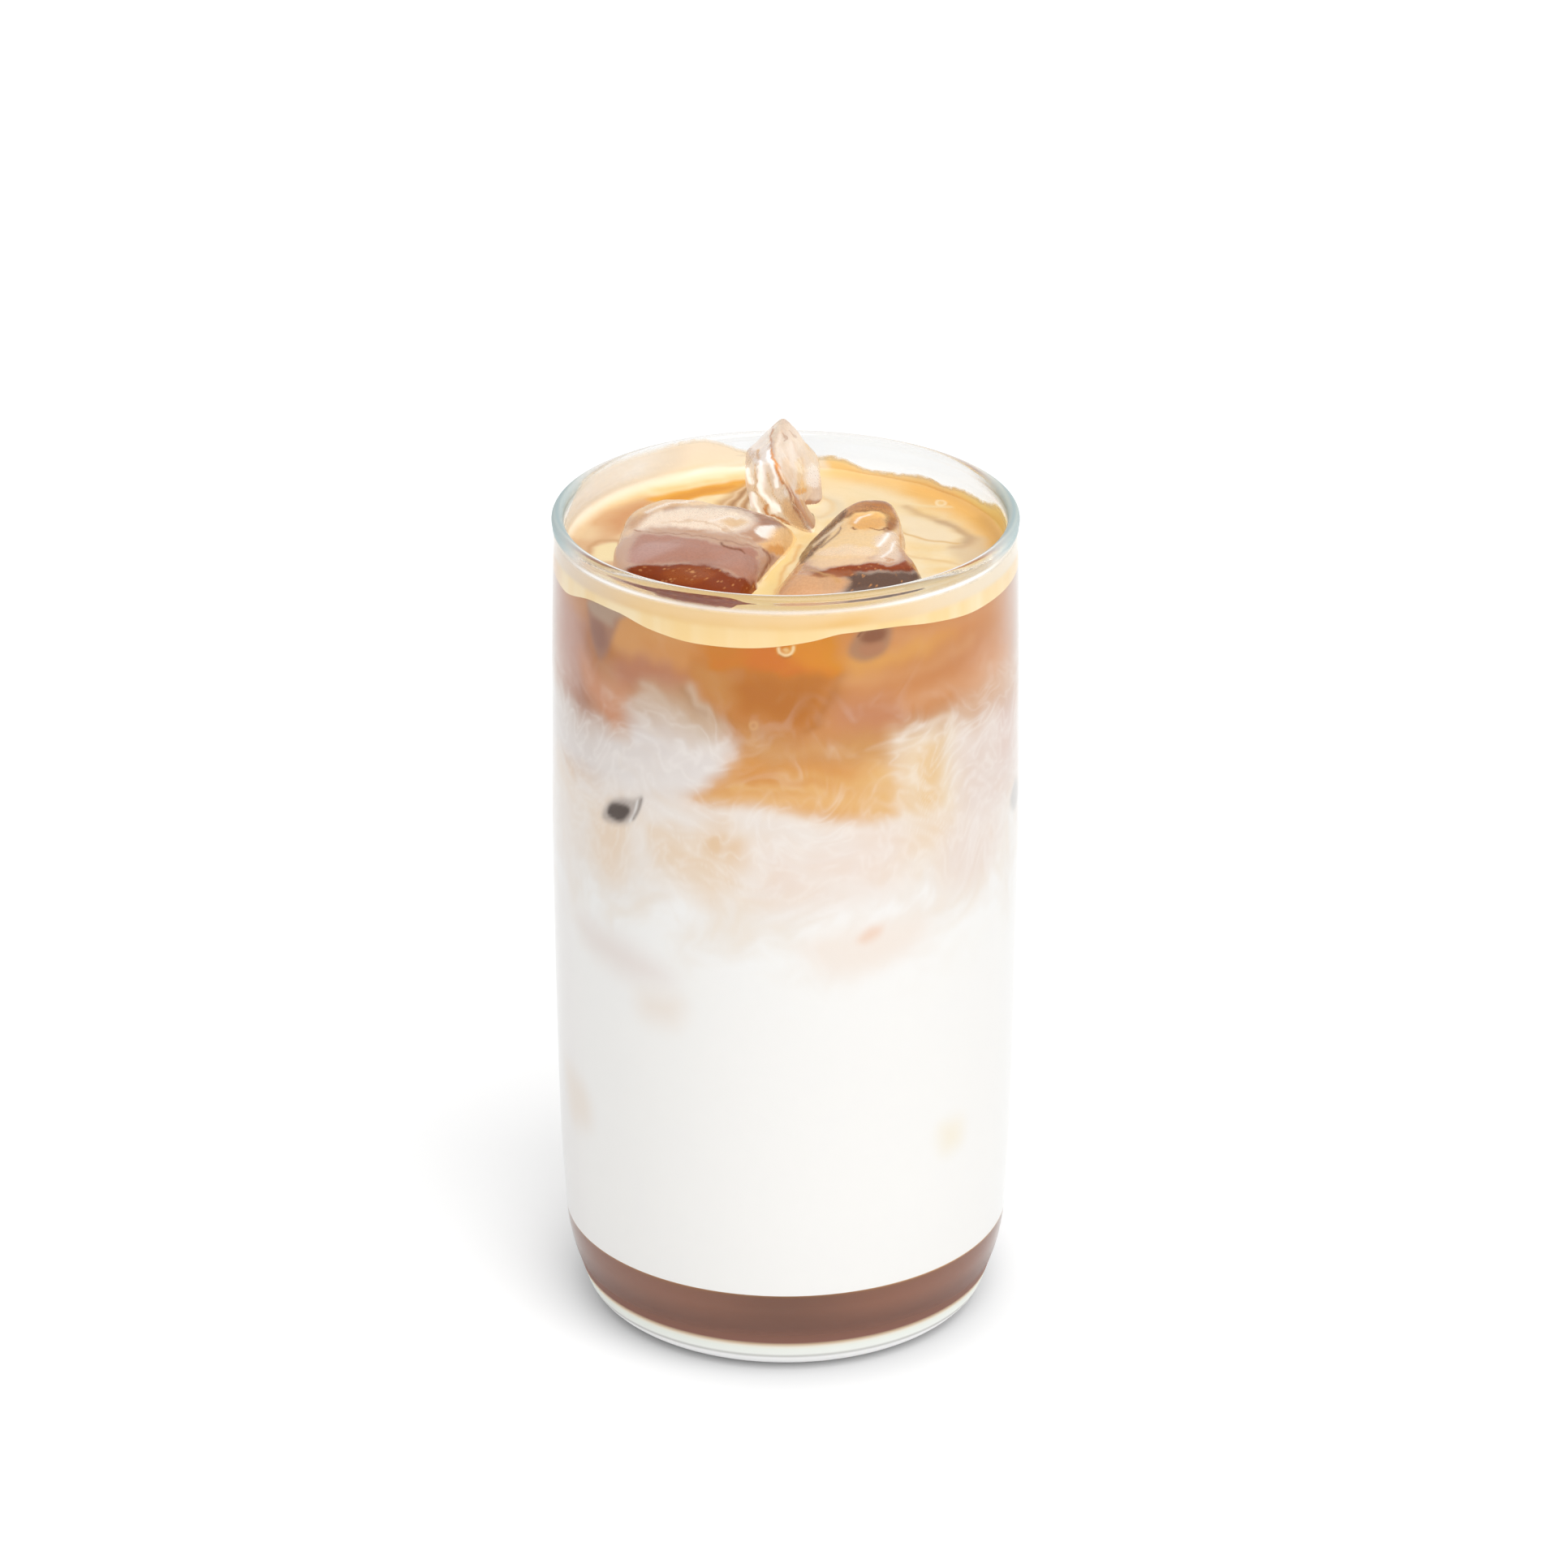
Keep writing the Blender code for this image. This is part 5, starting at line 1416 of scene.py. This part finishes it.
climb_r = np.minimum(wall + CLIMB * np.sin(np.pi / 2 * np.clip(rise * 1.8, 0, 1)), beside_wall)
climb_r = np.where(rise > 0.6, beside_wall + 0.1 * ease(rise, 0.6, 1.0), climb_r)
fall = np.linspace(0, 1, 16)[:, None]
fall[1] = 0.01  # and the first row behind the glass as well
edge = edge_height(CREMA_EDGE, azimuth)
fall_z = lip + (edge - lip) * fall
fall_r = inner_radius(fall_z) + INTO_WALL + 0.01
x = np.concatenate([flat_x, climb_r * np.cos(azimuth), fall_r * np.cos(azimuth)])
y = np.concatenate([flat_y, climb_r * np.sin(azimuth), fall_r * np.sin(azimuth)])
z = np.concatenate([flat_z + 0 * azimuth, climb_z + 0 * azimuth, fall_z])
crema_points = np.stack([x, y, z], axis=-1)
kept = np.ones((len(z) - 1, CREMA_COLUMNS), bool)
kept[: CREMA_ROWS - 1] = stay
tone, cover = crema_paint(crema_points)
tone = np.concatenate([np.clip(tone, 0, 0.95), cover[..., None]], axis=-1)

print(f"The film's edge lies from {lip.min():.1f} to {lip.max():.1f} mm up, and {(~kept).sum():,} cells are left out")

# %% [markdown]
# ### Foam
#
# The bubbles of crema are too fine to be seen one by one, so its surface is a diffuse cream with a satin gloss and a
# slight bump. Real foam also glows from within, which subsurface scattering could give, but that would blur the
# painted streaks. The fourth value of the paint mixes it with nothing where the film is thin.

# %% Foam
FOAM_GRAIN = 2 / 3  # millimetres from bubble to bubble, coarser than real ones, so that they show
# a satin cream, a little uneven
crema_look = new_material("Crema")
crema_tint = add(crema_look, "ShaderNodeAttribute", {"attribute_name": "tint"})
crema_place = add(crema_look, "ShaderNodeTexCoord")
crema_foam = add(
    crema_look, "ShaderNodeTexNoise", Scale=scale_of(FOAM_GRAIN), Detail=4.0, Vector=crema_place.outputs["Object"]
)
crema_bump = add(crema_look, "ShaderNodeBump", Height=crema_foam.outputs["Fac"], Strength=0.1, Distance=0.0003)
crema_shader = add(
    crema_look, "ShaderNodeBsdfPrincipled", Base_Color=crema_tint.outputs["Color"], Roughness=0.3,
    Specular_IOR_Level=0.3, Normal=crema_bump.outputs[0]
)
crema_gone = add(crema_look, "ShaderNodeBsdfTransparent")
crema_mix = add(
    crema_look, "ShaderNodeMixShader", _0=crema_tint.outputs["Alpha"], _1=crema_gone.outputs[0],
    _2=crema_shader.outputs[0]
)
add(crema_look, "ShaderNodeOutputMaterial", Surface=crema_mix.outputs[0])
crema = surface("crema_skin", crema_points, crema_look, {"tint": tone}, keep=kept)
settle(crema, "crema", "crema")

# %% [markdown]
# ## The table
#
# A white table without an edge or a pattern, so that nothing draws the eye from the glass. It could curve up behind
# like a studio's paper roll, but seen from this height a flat one fills the picture. A little emission lifts it to the
# white of the picture without more light on the glass.

# %% The table
TABLE_REACH = 3000.0
JUST_BELOW = -0.05  # clear of the foot, which stands at 0
# matt white, as paint or paper is, without reflections
floor_look = new_material("White table")
floor_shader = add(
    floor_look, "ShaderNodeBsdfPrincipled", Base_Color=(0.95, 0.95, 0.95, 1), Roughness=0.9,
    Emission_Color=(1, 1, 1, 1), Emission_Strength=0.12
)
add(floor_look, "ShaderNodeOutputMaterial", Surface=floor_shader.outputs[0])
span = np.array([-TABLE_REACH, TABLE_REACH])
floor_points = np.stack([*np.meshgrid(span, span), np.full((2, 2), JUST_BELOW)], axis=-1)
floor = surface("table", floor_points, floor_look, around=False)

# %% [markdown]
# ## The light
#
# A picture of a drink for a menu is lit by soft boxes all round. They could be set up one by one as area lamps. An
# even bright sky gives the same light with little noise, and one distant lamp as wide as 60 degrees, at the front
# right, leaves the one soft shadow, behind on the left.

# %% The light
SKY_STRENGTH = 0.72
world = bpy.data.worlds.new("Studio")
world.use_nodes = True
world.node_tree.nodes["Background"].inputs["Color"].default_value = (1, 1, 1, 1)
world.node_tree.nodes["Background"].inputs["Strength"].default_value = SKY_STRENGTH
bpy.context.scene.world = world


def soft_sun(name, bearing, height, spread, strength):
    """A broad distant light from a bearing and a height, in degrees. `spread` is how wide it looks."""
    lamp = bpy.data.lights.new(name, "SUN")
    lamp.angle = np.radians(spread)
    lamp.energy = strength
    made = bpy.data.objects.new(name, lamp)
    bpy.context.scene.collection.objects.link(made)
    made.rotation_euler = (0, np.radians(90 - height), np.radians(bearing))
    return made


key = soft_sun("Key", -62, 50, 60, 1.75)
print(f"One lamp {np.degrees(key.data.angle):.0f} degrees wide, and a sky of strength {SKY_STRENGTH}")

# %% [markdown]
# ## The camera
#
# A long lens, a metre away and looking down by about a quarter of a right angle, keeps the sides of the glass nearly
# parallel. It could stand nearer with a wider lens, but the rim would then look larger than the foot. It aims at a
# point on the axis of the glass, and its own turn is left level, so the glass stands upright in the picture.

# %% The camera
PICTURE_SIDE = 1932
DISTANCE = 1.0493
AIM_HEIGHT = 0.09079
ELEVATION = np.radians(23.606)
camera_data = bpy.data.cameras.new("Camera")
camera_data.lens = 147.76
camera_data.sensor_width = 36.0
camera_data.shift_x = -2 / PICTURE_SIDE
camera_data.clip_end = 20.0
camera = bpy.data.objects.new("Camera", camera_data)
bpy.context.scene.collection.objects.link(camera)
camera.location = (0, -DISTANCE * np.cos(ELEVATION), AIM_HEIGHT + DISTANCE * np.sin(ELEVATION))
camera.rotation_euler = (np.pi / 2 - ELEVATION, 0, 0)
print(f"Camera {camera.location.length:.3f} m away, looking down by {np.degrees(ELEVATION):.1f} degrees")
bpy.context.scene.camera = camera
bpy.context.scene.view_settings.view_transform = "Standard"
